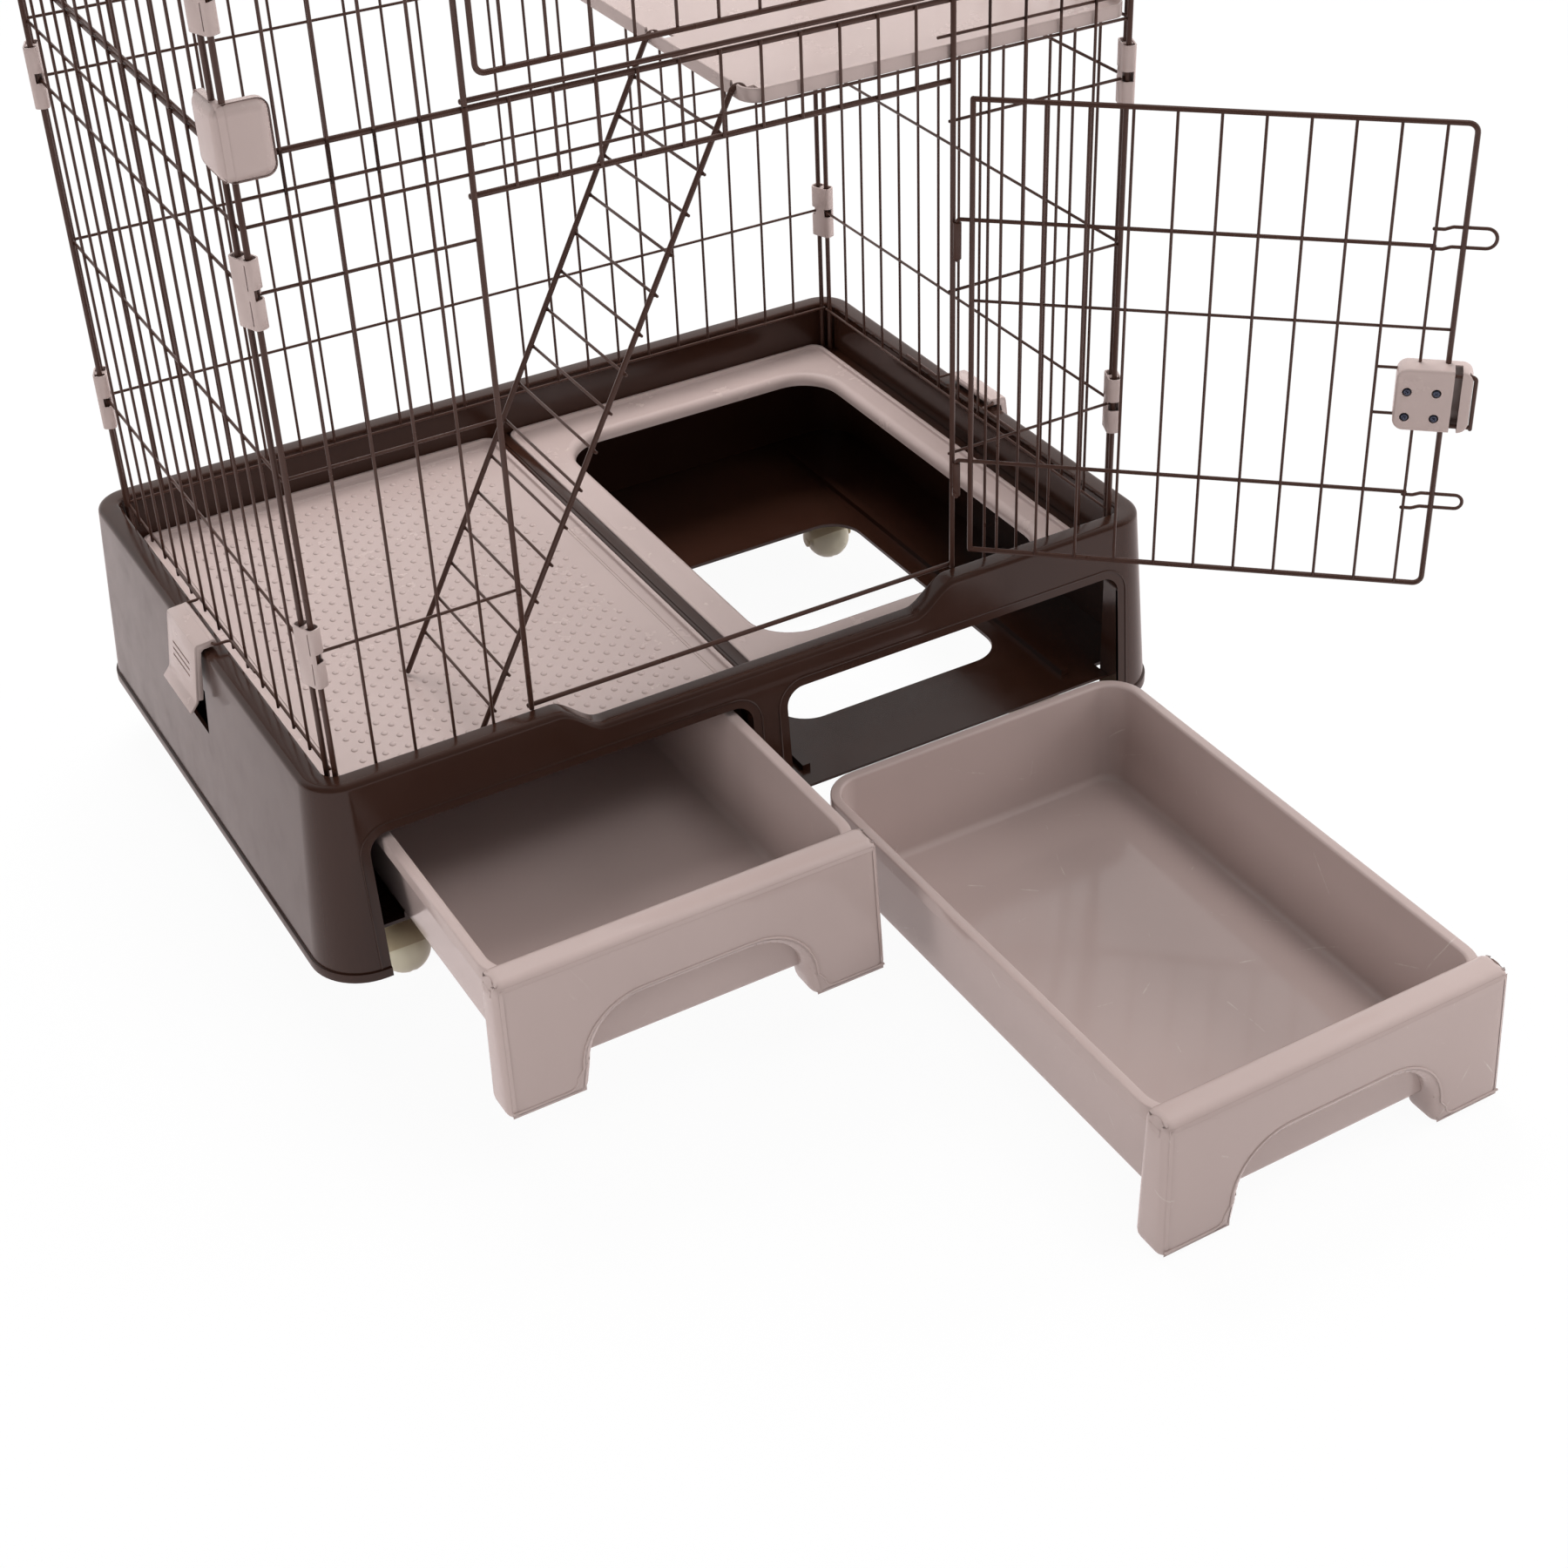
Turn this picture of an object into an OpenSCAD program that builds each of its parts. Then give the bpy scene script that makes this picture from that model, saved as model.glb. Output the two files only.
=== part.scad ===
// Two-storey cat cage on a moulded base with two drawers and four ball casters.
// Millimetres. The origin is the middle of the base's underside, +Z is up,
// the doors and the drawers face -Y. The lower door and one drawer are drawn open,
// and the upper door is shut with its bolt drawn back.

/* [Base] */
// Outer width of the base at its rim
rim_w = 860; // [780:1:960]
// Outer depth of the base at its rim
rim_d = 600; // [560:1:700]
// Height of the base from its lower edge to the rim
base_h = 197; // [190:1:230]
// How far the lower edge stands outside the rim
base_flare = 15; // [6:1:24]
// Corner radius of the base at the rim
corner_r = 34; // [28:1:50]
// Wall of the base moulding
base_wall = 3.5; // [2.5:0.5:5]
// Width of the hollow rim
rim_band = 22; // [20:1:28]
// Depth of the dip in the front rim below the door
sill_drop = 27; // [16:1:32]
// Length of the slope at each end of the dip
sill_ramp = 45; // [30:1:60]
// Height of the step round the lower edge
skirt_h = 9; // [5:1:16]
// How far the step round the lower edge stands out
skirt_out = 1.5; // [0.5:0.5:4]
// Width of the post between the two drawer openings
post_w = 36; // [30:1:44]
// Distance from the outer side of each drawer opening to the side of the rim
bay_margin = 40; // [36:1:60]
// Radius of the upper corners of the drawer openings
bay_r = 18; // [8:1:30]

/* [Deck] */
// Depth of the floor of the cage below the rim
deck_drop = 50; // [40:1:60]
// Thickness of the floor tray and of the litter ring
deck_t = 3; // [2:0.5:5]
// Width of the rail between the tray and the ring
rail_w = 31; // [24:1:36]
// Width of the dark ledge at each end of the deck
deck_ledge = 13; // [11:1:20]
// Width of the ring's band at its sides
ring_side = 32; // [24:1:60]
// Width of the ring's band at the front and the back
ring_end = 50; // [30:1:90]
// Corner radius of the ring's hole
ring_r = 45; // [20:1:70]
// How far the ring's inner edge is drawn down
ring_dip = 12; // [6:1:12]

/* [Underside] */
// Height of the floor frame's plate above the base's lower edge
plate_z = 17; // [12:1:20]
// Thickness of the floor frame's plate
plate_t = 3.5; // [2.5:0.5:5]
// Width of the hole below each drawer
plate_hole_w = 249; // [150:1:280]
// Depth of the hole below each drawer
plate_hole_d = 320; // [200:1:380]
// Diameter of the caster balls
ball_d = 49; // [40:1:50]
// Gap between the caster's ball and the base
ball_gap = 21; // [16:1:30]
// Distance from the casters to the side of the rim
caster_side = 80; // [60:1:130]
// Distance from the casters to the front and the back of the rim
caster_end = 90; // [70:1:110]
// How far a ball trails behind its stem
caster_trail = 20; // [12:1:24]
// Diameter of the caster's stem
stem_d = 11; // [8:0.5:12]

/* [Drawers] */
// Width of a drawer front at its top
fascia_w = 354; // [320:1:356]
// Gap between a drawer front and the top of its opening
front_gap = 3; // [2:0.5:8]
// Depth of a drawer front
fascia_t = 33; // [24:1:40]
// How far a drawer front leans out towards its feet
fascia_lean = 6.5; // [0:0.5:10]
// Width of the arch in a drawer front
arch_w = 215; // [160:1:240]
// Height of the arch in a drawer front
arch_h = 74; // [50:1:84]
// Length of a drawer from its front to its back
drawer_l = 540; // [480:1:550]
// Height of a drawer's tray above the lower edge of the base
tray_low = 27; // [25:1:40]
// Wall of a drawer's tray
tray_wall = 3; // [2:0.5:4]
// Width of the tray's rim
tray_rim = 11; // [8:1:14]
// How far the left drawer is pulled out
pull_out = 232; // [0:1:440]
// Distance of the litter drawer in front of the base
litter_away = 582; // [560:1:700]

/* [Wire] */
// Diameter of the thin wires
thin_d = 2.8; // [2.2:0.1:3.4]
// Diameter of the frame wires
thick_d = 5; // [4.4:0.1:5.4]
// How deep crossing wires are welded into each other
weld = 0.4; // [0.3:0.1:0.8]
// Distance of the panels from the side of the rim
panel_inset = 27; // [27:0.5:34]
// Number of gaps across the front and the back
gaps_wide = 22; // [18:2:26]
// Number of gaps along each side
gaps_deep = 14; // [10:2:18]
// Height of a panel
panel_h = 539; // [520:1:620]
// Height of the first cross wire in a panel
row_1 = 118; // [100:1:130]
// Height of the second cross wire in a panel
row_2 = 279; // [240:1:300]
// Height of the third cross wire in a panel
row_3 = 435; // [400:1:440]
// Height of the fourth cross wire in a panel
row_4 = 488; // [480:1:500]
// Height of the bar over the door
lintel = 470; // [466:1:476]

/* [Door] */
// Gaps between the corner and the door post
jamb_gaps = 5; // [4:1:7]
// Distance of the door's plane in front of the panel
door_out = 7; // [6:0.5:9]
// Distance from the hinge to the door's first post
door_first = 13; // [11:1:18]
// Height of the door's lower bar above the sill wire
door_low = 22; // [16:1:40]
// Gap between the door's upper bar and the bar over the door
door_top_gap = 12; // [9:1:20]
// From the hinge post to the door's first thin post
post_in = 25; // [18:1:40]
// From the door's last thin post to its free post
post_out = 24; // [18:1:40]
// Height of the door's third bar above the sill wire
door_row_3 = 350; // [330:1:400]
// How far the door's loops reach past its free post
loop_out = 28; // [24:1:34]
// How far the lower door is open
door_open = 138.5; // [0:0.5:165]
// Length of a hinge sleeve
sleeve_l = 34; // [24:1:40]
// Wall of a hinge sleeve
sleeve_wall = 1.7; // [1.2:0.1:2.2]

/* [Latch] */
// Height of the latch's middle above the sill wire
latch_z = 214; // [180:1:240]
// Width of the latch block
latch_w = 65; // [62:1:72]
// Height of the latch block
latch_h = 59; // [52:1:66]
// Thickness of the latch block's outer half
latch_out = 7; // [5:0.5:9]
// Thickness of the latch block's inner half
latch_in = 17.5; // [17:0.5:20]
// Diameter of the bolt wire
bolt_d = 4; // [3:0.5:4]
// Gap between the bolt wire and the door post
bolt_gap = 2.2; // [1:0.1:2.4]
// How far the bolt can be drawn back
bolt_travel = 22; // [18:1:22]

/* [Clips] */
// Height of a corner clip
clip_h = 60; // [40:1:70]
// Outer diameter of a corner clip round its post
clip_d = 13; // [11:0.5:14]
// Height of a storey bracket
bracket_h = 60; // [40:1:80]
// Reach of a storey bracket along each panel
bracket_w = 60; // [45:1:70]
// Thickness of a storey bracket
bracket_t = 14; // [13:0.5:16]
// Width of a side clip
side_clip_w = 75; // [50:1:90]
// Length of a side clip's handle plate
side_clip_l = 58; // [40:1:70]
// Height of the side clip's hinge above the rim
side_clip_z = 7; // [6.5:0.5:9]
// Depth of the side clip's catch below the rim
catch_low = 70; // [60:1:80]

/* [Ladder and shelf] */
// Width of the ladder between its rails
ladder_w = 148; // [120:1:170]
// Lean of the ladder from upright
ladder_lean = 28; // [20:0.5:32]
// Distance between rungs
rung_pitch = 35.7; // [30:0.1:45]
// Place of the ladder's middle, front to back
ladder_y = -171.5; // [-180:0.5:100]
// Width of the shelf
shelf_w = 376; // [340:1:400]
// Thickness of the shelf plate
shelf_t = 3; // [2:0.5:4]
// Height of the shelf's upturned edge
shelf_lip = 9; // [5:1:14]

/* [Fits] */
// Gap between pieces that only lie against each other
seat_gap = 0.3; // [0.1:0.1:0.5]
// Radial clearance of pins and stems that turn
pin_gap = 0.08; // [0.03:0.01:0.1]

/* [Hidden] */
brown = "#3b2622";
greige = "#b5a49f";
cream = "#e6dcc0";
tan = "#c9b78f";
steel = "#8d93a6";

smooth = 48;
over = 1;

pocket_w = rim_w - 2 * rim_band;
pocket_d = rim_d - 2 * rim_band;
pocket_r = corner_r - rim_band + 2;
deck_z = base_h - deck_drop;
bay_top = deck_z - base_wall - 1.5;
bay_outer = rim_w / 2 - bay_margin;
bay_inner = post_w / 2;
bay_x = (bay_outer + bay_inner) / 2;
bay_w = bay_outer - bay_inner;

tray_outer = pocket_w / 2 - deck_ledge;
tray_inner = rail_w / 2 + seat_gap;
tray_x = (tray_outer + tray_inner) / 2;
tray_size = tray_outer - tray_inner;
deck_d = pocket_d - 2 * seat_gap;

fascia_foot = 1;
fascia_top = bay_top - front_gap;
fascia_h = fascia_top - fascia_foot;
tray_top = fascia_top - 5;
tray_h = tray_top - tray_low;
fascia_flare = 3;
arch_band = 9;
closed_y = -rim_d / 2 - 6;
ball_z = -ball_gap - ball_d / 2;
floor_z = ball_z - ball_d / 2;
axle_d = 5;
caster_x = rim_w / 2 - caster_side;
caster_y = rim_d / 2 - caster_end;

panel_x = rim_w / 2 - panel_inset;
panel_y = rim_d / 2 - panel_inset;
wide_half = panel_x - 4;
deep_half = panel_y - 10;
wide_pitch = 2 * wide_half / gaps_wide;
deep_pitch = 2 * deep_half / gaps_deep;
thin_side = (thin_d + thin_d) / 2 - weld;
mixed_side = (thin_d + thick_d) / 2 - weld;
stub = 3;
tier_1 = base_h - 2.3;
tier_2 = tier_1 + panel_h + 2 * stub + seat_gap;
roof_z = tier_2 + panel_h + stub + thick_d / 2 + seat_gap;

jamb_x = wide_half - jamb_gaps * wide_pitch;
hinge_y = -panel_y - door_out;
door_w = 2 * jamb_x - 2 * door_first + 4;
door_last = door_first + door_w;
door_gaps = 10;
door_row_1 = row_1 - 3;
door_row_2 = row_2 - 5;
door_high = lintel - door_top_gap;
pin_d = 4;
sleeve_d = pin_d + 2 * (pin_gap + sleeve_wall);

latch_start = door_last - 43;
latch_end = latch_start + latch_w;
jamb_s = 2 * jamb_x;
bolt_y = door_out + thick_d / 2 + bolt_gap + bolt_d / 2;
bolt_leg = latch_h / 2 - 5.5;
bolt_tip = jamb_s - 27;
bolt_end = jamb_s + 15;
bolt_in = bolt_end - bolt_travel - bolt_d / 2 - 0.5;
screw_places = [[10, -16], [35, -16], [10, 8], [35, 8]];

side_axis_x = rim_w / 2 - 9;
side_axis_z = base_h + side_clip_z;
side_wire = 3;

shelf_z = tier_1 + row_4 + thin_d / 2 + seat_gap;
shelf_x2 = panel_x - thin_d / 2 - thin_side / 2;
shelf_x1 = shelf_x2 - shelf_w;
shelf_d = 2 * (panel_y - thick_d / 2 - seat_gap);
bar_d = 8;
bar_z = shelf_z + shelf_t / 2;
hook_t = thick_d + 0.6;
hook_r = bar_d / 2 + pin_gap + hook_t / 2;
ladder_l = (bar_z + (hook_r - thick_d / 2) * sin(ladder_lean) - deck_z - seat_gap) / cos(ladder_lean);

// Flat outline with round corners
module rounded_rect(w, d, r) {
    square([w - 2 * r, d], center = true);
    square([w, d - 2 * r], center = true);
    for (x = [-1, 1], y = [-1, 1])
        translate([x * (w / 2 - r), y * (d / 2 - r)]) circle(r = r, $fn = smooth);
}

module rounded_block(w, d, r, h) {
    linear_extrude(h) rounded_rect(w, d, r);
}

// Straight wire along one of the axes, from a start point over a signed length
module wire_x(x1, x2, y, z, d) {
    translate([x1, y, z]) rotate([0, 90, 0]) rotate(22.5) cylinder(h = x2 - x1, d = d, $fn = 8);
}

module wire_y(y1, y2, x, z, d) {
    translate([x, y1, z]) rotate([-90, 0, 0]) rotate(22.5) cylinder(h = y2 - y1, d = d, $fn = 8);
}

module wire_z(z1, z2, x, y, d) {
    translate([x, y, z1]) rotate(22.5) cylinder(h = z2 - z1, d = d, $fn = 8);
}

// Bend of a wire round the Z axis, from the X axis on
module wire_bend(r, angle, d) {
    rotate_extrude(angle = angle, $fn = smooth) translate([r, 0]) rotate(22.5) circle(d = d, $fn = 8);
}

// Base moulding
function flare_at(z) = base_flare * (1 - z / base_h);

module base_form(grow, z1, z2) {
    hull() for (x = [-1, 1], y = [-1, 1])
        translate([x * (rim_w / 2 - corner_r), y * (rim_d / 2 - corner_r), z1])
            cylinder(h = z2 - z1, r1 = corner_r + flare_at(z1) + grow, r2 = corner_r + flare_at(z2)
                + grow, $fn = 64);
}

module bay_outline(grow) {
    w = bay_w + 2 * grow;
    r = bay_r + grow;
    top = bay_top + grow;
    translate([-w / 2, -over]) square([w, top - r + over]);
    translate([-w / 2 + r, -over]) square([w - 2 * r, top + over]);
    for (x = [-1, 1]) translate([x * (w / 2 - r), top - r]) circle(r = r, $fn = smooth);
}

module bay_tunnel(grow, depth) {
    for (x = [-bay_x, bay_x])
        translate([x, -rim_d / 2 + depth, 0]) rotate([90, 0, 0])
            linear_extrude(depth + base_flare + 10) bay_outline(grow);
}

// Space above the dip in the front rim
module sill_dip(down) {
    top = jamb_x - 15;
    steps = 8;
    slope = [for (k = [0:steps])
        [top - sill_ramp * k / steps, base_h - down - sill_drop * pow(k / steps, 2) * (3 - 2 * k / steps)]];
    translate([0, -rim_d / 2 + rim_band + down + over, 0]) rotate([90, 0, 0])
        linear_extrude(rim_band + base_flare + 2 * over + down)
            polygon(concat([[-top, base_h + over]], [for (p = slope) [-p[0], p[1]]],
                [for (k = [steps:-1:0]) slope[k]], [[top, base_h + over]]));
}

module side_catch_hole() {
    for (x = [-1, 1])
        translate([x * (rim_w / 2 + flare_at(base_h - catch_low)), 0, base_h - catch_low])
            cube([4 * base_wall, side_clip_w - 22, 46], center = true);
}

module base_housing() {
    reveal = rim_band - 4;
    color(brown) {
        difference() {
            union() {
                base_form(0, 0, base_h);
                rounded_block(rim_w + 2 * (base_flare + skirt_out), rim_d + 2 * (base_flare + skirt_out),
                    corner_r + base_flare + skirt_out, skirt_h);
            }
            difference() {
                base_form(-base_wall, -over, base_h - base_wall);
                translate([0, 0, deck_z - deck_t - base_wall])
                    rounded_block(pocket_w + 2 * base_wall, pocket_d + 2 * base_wall, pocket_r + base_wall,
                        base_h);
                sill_dip(base_wall);
                intersection() {
                    base_form(0, 0, base_h);
                    bay_tunnel(base_wall, reveal);
                }
                for (y = [-1, 1]) translate([-bay_inner, y > 0 ? rim_d / 4 : -rim_d / 2 - base_flare,
                    plate_z + plate_t])
                    cube([post_w, rim_d / 4 + base_flare, deck_z - plate_z - plate_t]);
            }
            translate([0, 0, deck_z]) rounded_block(pocket_w, pocket_d, pocket_r, base_h);
            translate([0, 0, deck_z - deck_t])
                rounded_block(2 * tray_outer + 2 * seat_gap, pocket_d, pocket_r, base_h);
            for (x = [-1, 1]) translate([x * (tray_x + 1), 0, deck_z - deck_t - 2 * base_wall])
                rounded_block(tray_size - 22, pocket_d - 24, pocket_r, base_h);
            bay_tunnel(0, reveal + over);
            sill_dip(0);
            side_catch_hole();
            translate([-bay_inner + base_wall, -rim_d / 2 + rim_band, plate_z])
                cube([post_w - 2 * base_wall, rim_d - 2 * rim_band, base_h]);
        }
        for (x = [-1, 1]) translate([x * (bay_inner - base_wall / 2), 0,
            (deck_z - deck_t + plate_z + plate_t) / 2])
            cube([base_wall, rim_d - 2 * base_wall, deck_z - deck_t - plate_z - plate_t], center = true);
    }
}

module floor_frame() {
    edge = 2 * (rim_w / 2 + flare_at(plate_z + plate_t) - base_wall - seat_gap);
    back = rim_d / 2 + flare_at(plate_z + plate_t) - base_wall - seat_gap;
    front = -closed_y - fascia_t - 1;
    round = corner_r + flare_at(plate_z + plate_t) - base_wall - seat_gap;
    rib_z = tray_low - seat_gap - plate_z - plate_t;
    color(brown) difference() {
        union() {
            translate([0, (back - front) / 2, plate_z]) rounded_block(edge, back + front, round, plate_t);
            translate([-10, -front, 0]) cube([20, back + front, plate_z + plate_t]);
            for (x = [-bay_x, bay_x], side = [-1, 1])
                translate([x + side * (bay_w / 2 - 36) - 4, -front, plate_z])
                    cube([8, back + front - 30, plate_t + rib_z]);
            for (x = [-1, 1], y = [-1, 1]) translate([x * caster_x, y * caster_y, seat_gap]) {
                cylinder(h = plate_z, d = stem_d + 14, $fn = smooth);
                for (a = [0, 90]) rotate(a) translate([-27, -1.5, 2]) cube([54, 3, plate_z - 2]);
            }
        }
        for (x = [-bay_x, bay_x]) translate([x, -43, plate_z - over])
            rounded_block(plate_hole_w, plate_hole_d, 35, plate_t + 2 * over);
        for (x = [-1, 1], y = [-1, 1]) translate([x * caster_x, y * caster_y, -over])
            cylinder(h = plate_z - 2 + over, d = stem_d + 2 * pin_gap, $fn = smooth);
    }
}

module center_rail() {
    color(brown) difference() {
        translate([0, 0, deck_z - deck_t]) linear_extrude(deck_t + 4)
            square([rail_w, deck_d], center = true);
        for (x = [-1, 1]) translate([x * rail_w / 5 - 2, -deck_d / 2 - over, deck_z + 2])
            cube([4, deck_d + 2 * over, 4]);
    }
}

module floor_tray() {
    color(greige) translate([-tray_x, 0, deck_z - deck_t]) difference() {
        rounded_block(tray_size - seat_gap, deck_d, pocket_r, deck_t + 4);
        translate([0, 0, deck_t]) rounded_block(tray_size - 14, deck_d - 13, 10, base_h);
    }
}

// Litter ring with its drawn-down inner edge
module litter_ring() {
    hole_w = tray_size - 2 * ring_side;
    hole_d = deck_d - 2 * ring_end;
    wall = deck_t;
    color(greige) translate([tray_x, 0, deck_z - deck_t]) difference() {
        union() {
            rounded_block(tray_size - seat_gap, deck_d, pocket_r, deck_t + 4);
            ring_funnel(hole_w + 2 * wall, hole_d + 2 * wall, deck_t - ring_dip, wall, 0);
        }
        translate([0, 0, deck_t]) rounded_block(tray_size - 14, deck_d - 13, 10, base_h);
        ring_funnel(hole_w, hole_d, deck_t - ring_dip, 0, over);
    }
}

module ring_funnel(w, d, low, rise, past) {
    slope = 14;
    translate([0, 0, low - past]) rounded_block(w, d, ring_r, deck_t + past + 1);
    hull() {
        translate([0, 0, low + deck_t]) rounded_block(w, d, ring_r, 0.5);
        translate([0, 0, deck_t - rise]) rounded_block(w + slope, d + slope, ring_r + slope / 2, 0.5 + past);
    }
}

// Drawer front: the outline seen from the front, drawn in by a margin
module fascia_outline(inset) {
    top = fascia_w / 2 - inset;
    foot = fascia_w / 2 + fascia_flare - inset;
    half = arch_w / 2 + inset;
    r = 45 + inset;
    rise = arch_h + inset;
    difference() {
        polygon([[-top, fascia_h - inset], [top, fascia_h - inset], [foot, inset], [-foot, inset]]);
        translate([-half, -over]) square([2 * half, rise - r + over]);
        translate([-half + r, -over]) square([2 * (half - r), rise + over]);
        for (x = [-1, 1]) translate([x * (half - r), rise - r]) circle(r = r, $fn = 96);
    }
}

module fascia_form(inset) {
    intersection() {
        translate([0, fascia_t + 20, 0]) rotate([90, 0, 0]) linear_extrude(fascia_t + 60)
            fascia_outline(inset);
        translate([-fascia_w, 0, 0]) rotate([90, 0, 90]) linear_extrude(2 * fascia_w)
            polygon([[inset, fascia_h], [inset - fascia_lean, 0], [fascia_t + (inset > 0 ? over : 0), 0],
                [fascia_t + (inset > 0 ? over : 0), fascia_h]]);
    }
}

module drawer_fascia() {
    plate = tray_wall;
    foot = fascia_w / 2 + fascia_flare - plate;
    top = fascia_w / 2 - plate;
    color(greige) translate([0, 0, fascia_foot]) difference() {
        fascia_form(0);
        fascia_form(plate);
        translate([0, fascia_t + over, 0]) rotate([90, 0, 0]) linear_extrude(fascia_t + over - arch_band)
            polygon([[-top, fascia_h - plate], [top, fascia_h - plate], [foot, -over], [-foot, -over]]);
    }
}

module tray_form(w, l, r, taper, h) {
    hull() for (x = [-1, 1], y = [-1, 1])
        translate([x * (w / 2 - r), y * (l / 2 - r), 0])
            cylinder(h = h, r1 = r - taper, r2 = r, $fn = smooth);
}

// Tray of a drawer, hung in its front by the rim
module drawer_tray() {
    taper = 8;
    rim_out_w = fascia_w - 2 * tray_wall - 2 * seat_gap - 2;
    start = arch_band + seat_gap;
    l = drawer_l - start;
    w_in = rim_out_w - 2 * tray_rim;
    l_in = l - 2 * tray_rim;
    r = 30;
    color(greige) translate([0, start + l / 2, tray_low]) difference() {
        union() {
            tray_form(w_in + 2 * tray_wall, l_in + 2 * tray_wall, r + tray_wall, taper, tray_h - over);
            translate([0, 0, tray_h - 9]) rounded_block(rim_out_w, l, r + tray_rim - 8, 9);
        }
        translate([0, 0, tray_wall]) tray_form(w_in, l_in, r, taper, tray_h);
        translate([0, 0, tray_h - 9 - over]) difference() {
            rounded_block(rim_out_w - 5, l - 5, r + tray_rim - 10.5, 9 + over - 2.5);
            translate([0, 0, -over])
                rounded_block(w_in + 2 * tray_wall, l_in + 2 * tray_wall, r + tray_wall, 12);
        }
    }
}

module left_drawer_tray() {
    translate([-bay_x, closed_y - pull_out, 0]) drawer_tray();
}

module left_drawer_fascia() {
    translate([-bay_x, closed_y - pull_out, 0]) drawer_fascia();
}

// The litter drawer stands on the floor in front of its bay
module litter_drawer_tray() {
    translate([bay_x - 12, closed_y - litter_away, floor_z - fascia_foot]) drawer_tray();
}

module litter_drawer_fascia() {
    translate([bay_x - 12, closed_y - litter_away, floor_z - fascia_foot]) drawer_fascia();
}

// Ball caster: a hood on a turning stem, and a ball on a cross axle
module caster_hood() {
    shell = 3;
    gap = 0.8;
    color(tan) {
        translate([0, 0, -1.5]) cylinder(h = plate_z - 4 + 1.5, d = stem_d, $fn = smooth);
        difference() {
            union() {
                translate([0, -caster_trail, ball_z]) sphere(d = ball_d + 2 * (gap + shell), $fn = smooth);
                translate([0, 0, -8]) cylinder(h = 8, d = stem_d + 15, $fn = smooth);
                hull() {
                    translate([0, 0, -10]) cylinder(h = 8, d = stem_d + 15, $fn = 32);
                    translate([0, -caster_trail / 2, ball_z + 6]) cylinder(h = 4, d = 36, $fn = 32);
                }
            }
            translate([0, -caster_trail, ball_z]) sphere(d = ball_d + 2 * gap, $fn = smooth);
            translate([0, -caster_trail, ball_z]) rotate([-38, 0, 0])
                translate([-ball_d, -ball_d, -2 * ball_d])
                cube([2 * ball_d, 2 * ball_d, 2 * ball_d]);
            translate([-ball_d, -2 * ball_d, ball_z - 2 * ball_d - 4])
                cube([2 * ball_d, 4 * ball_d, 2 * ball_d]);
        }
        translate([-ball_d / 2 - gap - 1, -caster_trail, ball_z]) rotate([0, 90, 0])
            cylinder(h = ball_d + 2 * gap + 2, d = axle_d, $fn = smooth);
        for (x = [-1, 1]) translate([x * (ball_d / 2 + gap + shell / 2), -caster_trail, ball_z])
            rotate([0, 90, 0])
            cylinder(h = shell, d = axle_d + 6, center = true, $fn = smooth);
    }
}

module caster_ball() {
    hub = ball_d - 2;
    color(cream) translate([0, -caster_trail, ball_z]) rotate([0, 90, 0]) rotate_extrude($fn = 64)
        intersection() {
        circle(d = ball_d, $fn = 64);
        translate([axle_d / 2 + pin_gap, -hub / 2]) square([ball_d, hub]);
    }
}

module caster_at(x, y) {
    translate([x * caster_x, y * caster_y, 0]) children();
}

// Side clip: it hangs on the panel's hinge wire and holds the base below
module side_clip() {
    drop = base_h - 3;
    barrel = side_wire + 5;
    color(greige) translate([0, side_clip_w / 2, 0]) rotate([90, 0, 0]) difference() {
        union() {
            translate([side_axis_x, side_axis_z]) cylinder(h = side_clip_w, d = barrel, $fn = smooth);
            linear_extrude(side_clip_w) polygon([
                [side_axis_x + 1, side_axis_z + 4], [side_axis_x + 13, side_axis_z + 1],
                [side_axis_x + 17, side_axis_z - 4], [side_axis_x + 27, drop - side_clip_l + 6],
                [side_axis_x + 33, drop - side_clip_l], [side_axis_x + 31, drop - side_clip_l - 2],
                [side_axis_x + 24, drop - side_clip_l + 5], [side_axis_x + 13, side_axis_z - 6],
                [side_axis_x + 10, side_axis_z - 3], [side_axis_x + 3, side_axis_z - 2]]);
        }
        translate([side_axis_x, side_axis_z, -over])
            cylinder(h = side_clip_w + 2 * over, d = side_wire + 2 * pin_gap, $fn = smooth);
    }
}

module side_clip_left() {
    mirror([1, 0, 0]) side_clip();
}

module side_clip_right() {
    side_clip();
}

// Wire panels are drawn with their posts in the plane y = 0 and their inner side towards +Y
module row(half, z, d) {
    wire_x(-half - stub, half + stub, (d == thin_d ? thin_side : mixed_side), z, d);
}

module plain_panel(half, gaps, z, foot) {
    wire_z(foot, z + panel_h + stub, -half, 0, thick_d);
    wire_z(foot, z + panel_h + stub, half, 0, thick_d);
    for (k = [1:gaps - 1]) wire_z(z - stub, z + panel_h + stub, -half + k * 2 * half / gaps, 0, thin_d);
    for (h = [0, row_1, row_2, row_3, row_4]) row(half, z + h, thin_d);
    row(half, z + panel_h, thick_d);
}

// Wire that carries the side clip, bent out over the rim
module clip_wire() {
    reach = side_axis_x - panel_x;
    bend = side_clip_w / 2 + 4;
    arm = bend + 62;
    for (side = [-1, 1]) {
        wire_x(side > 0 ? bend - 1 : -arm, side > 0 ? arm : -bend + 1, -thin_side, side_axis_z, thin_d);
        wire_y(-reach, -thin_side, side * bend, side_axis_z, side_wire);
        translate([side * bend, -reach, side_axis_z]) sphere(d = side_wire, $fn = smooth);
    }
    translate([-bend, -reach, side_axis_z]) rotate([0, 90, 0])
        cylinder(h = 2 * bend, d = side_wire, $fn = smooth);
}

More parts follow.
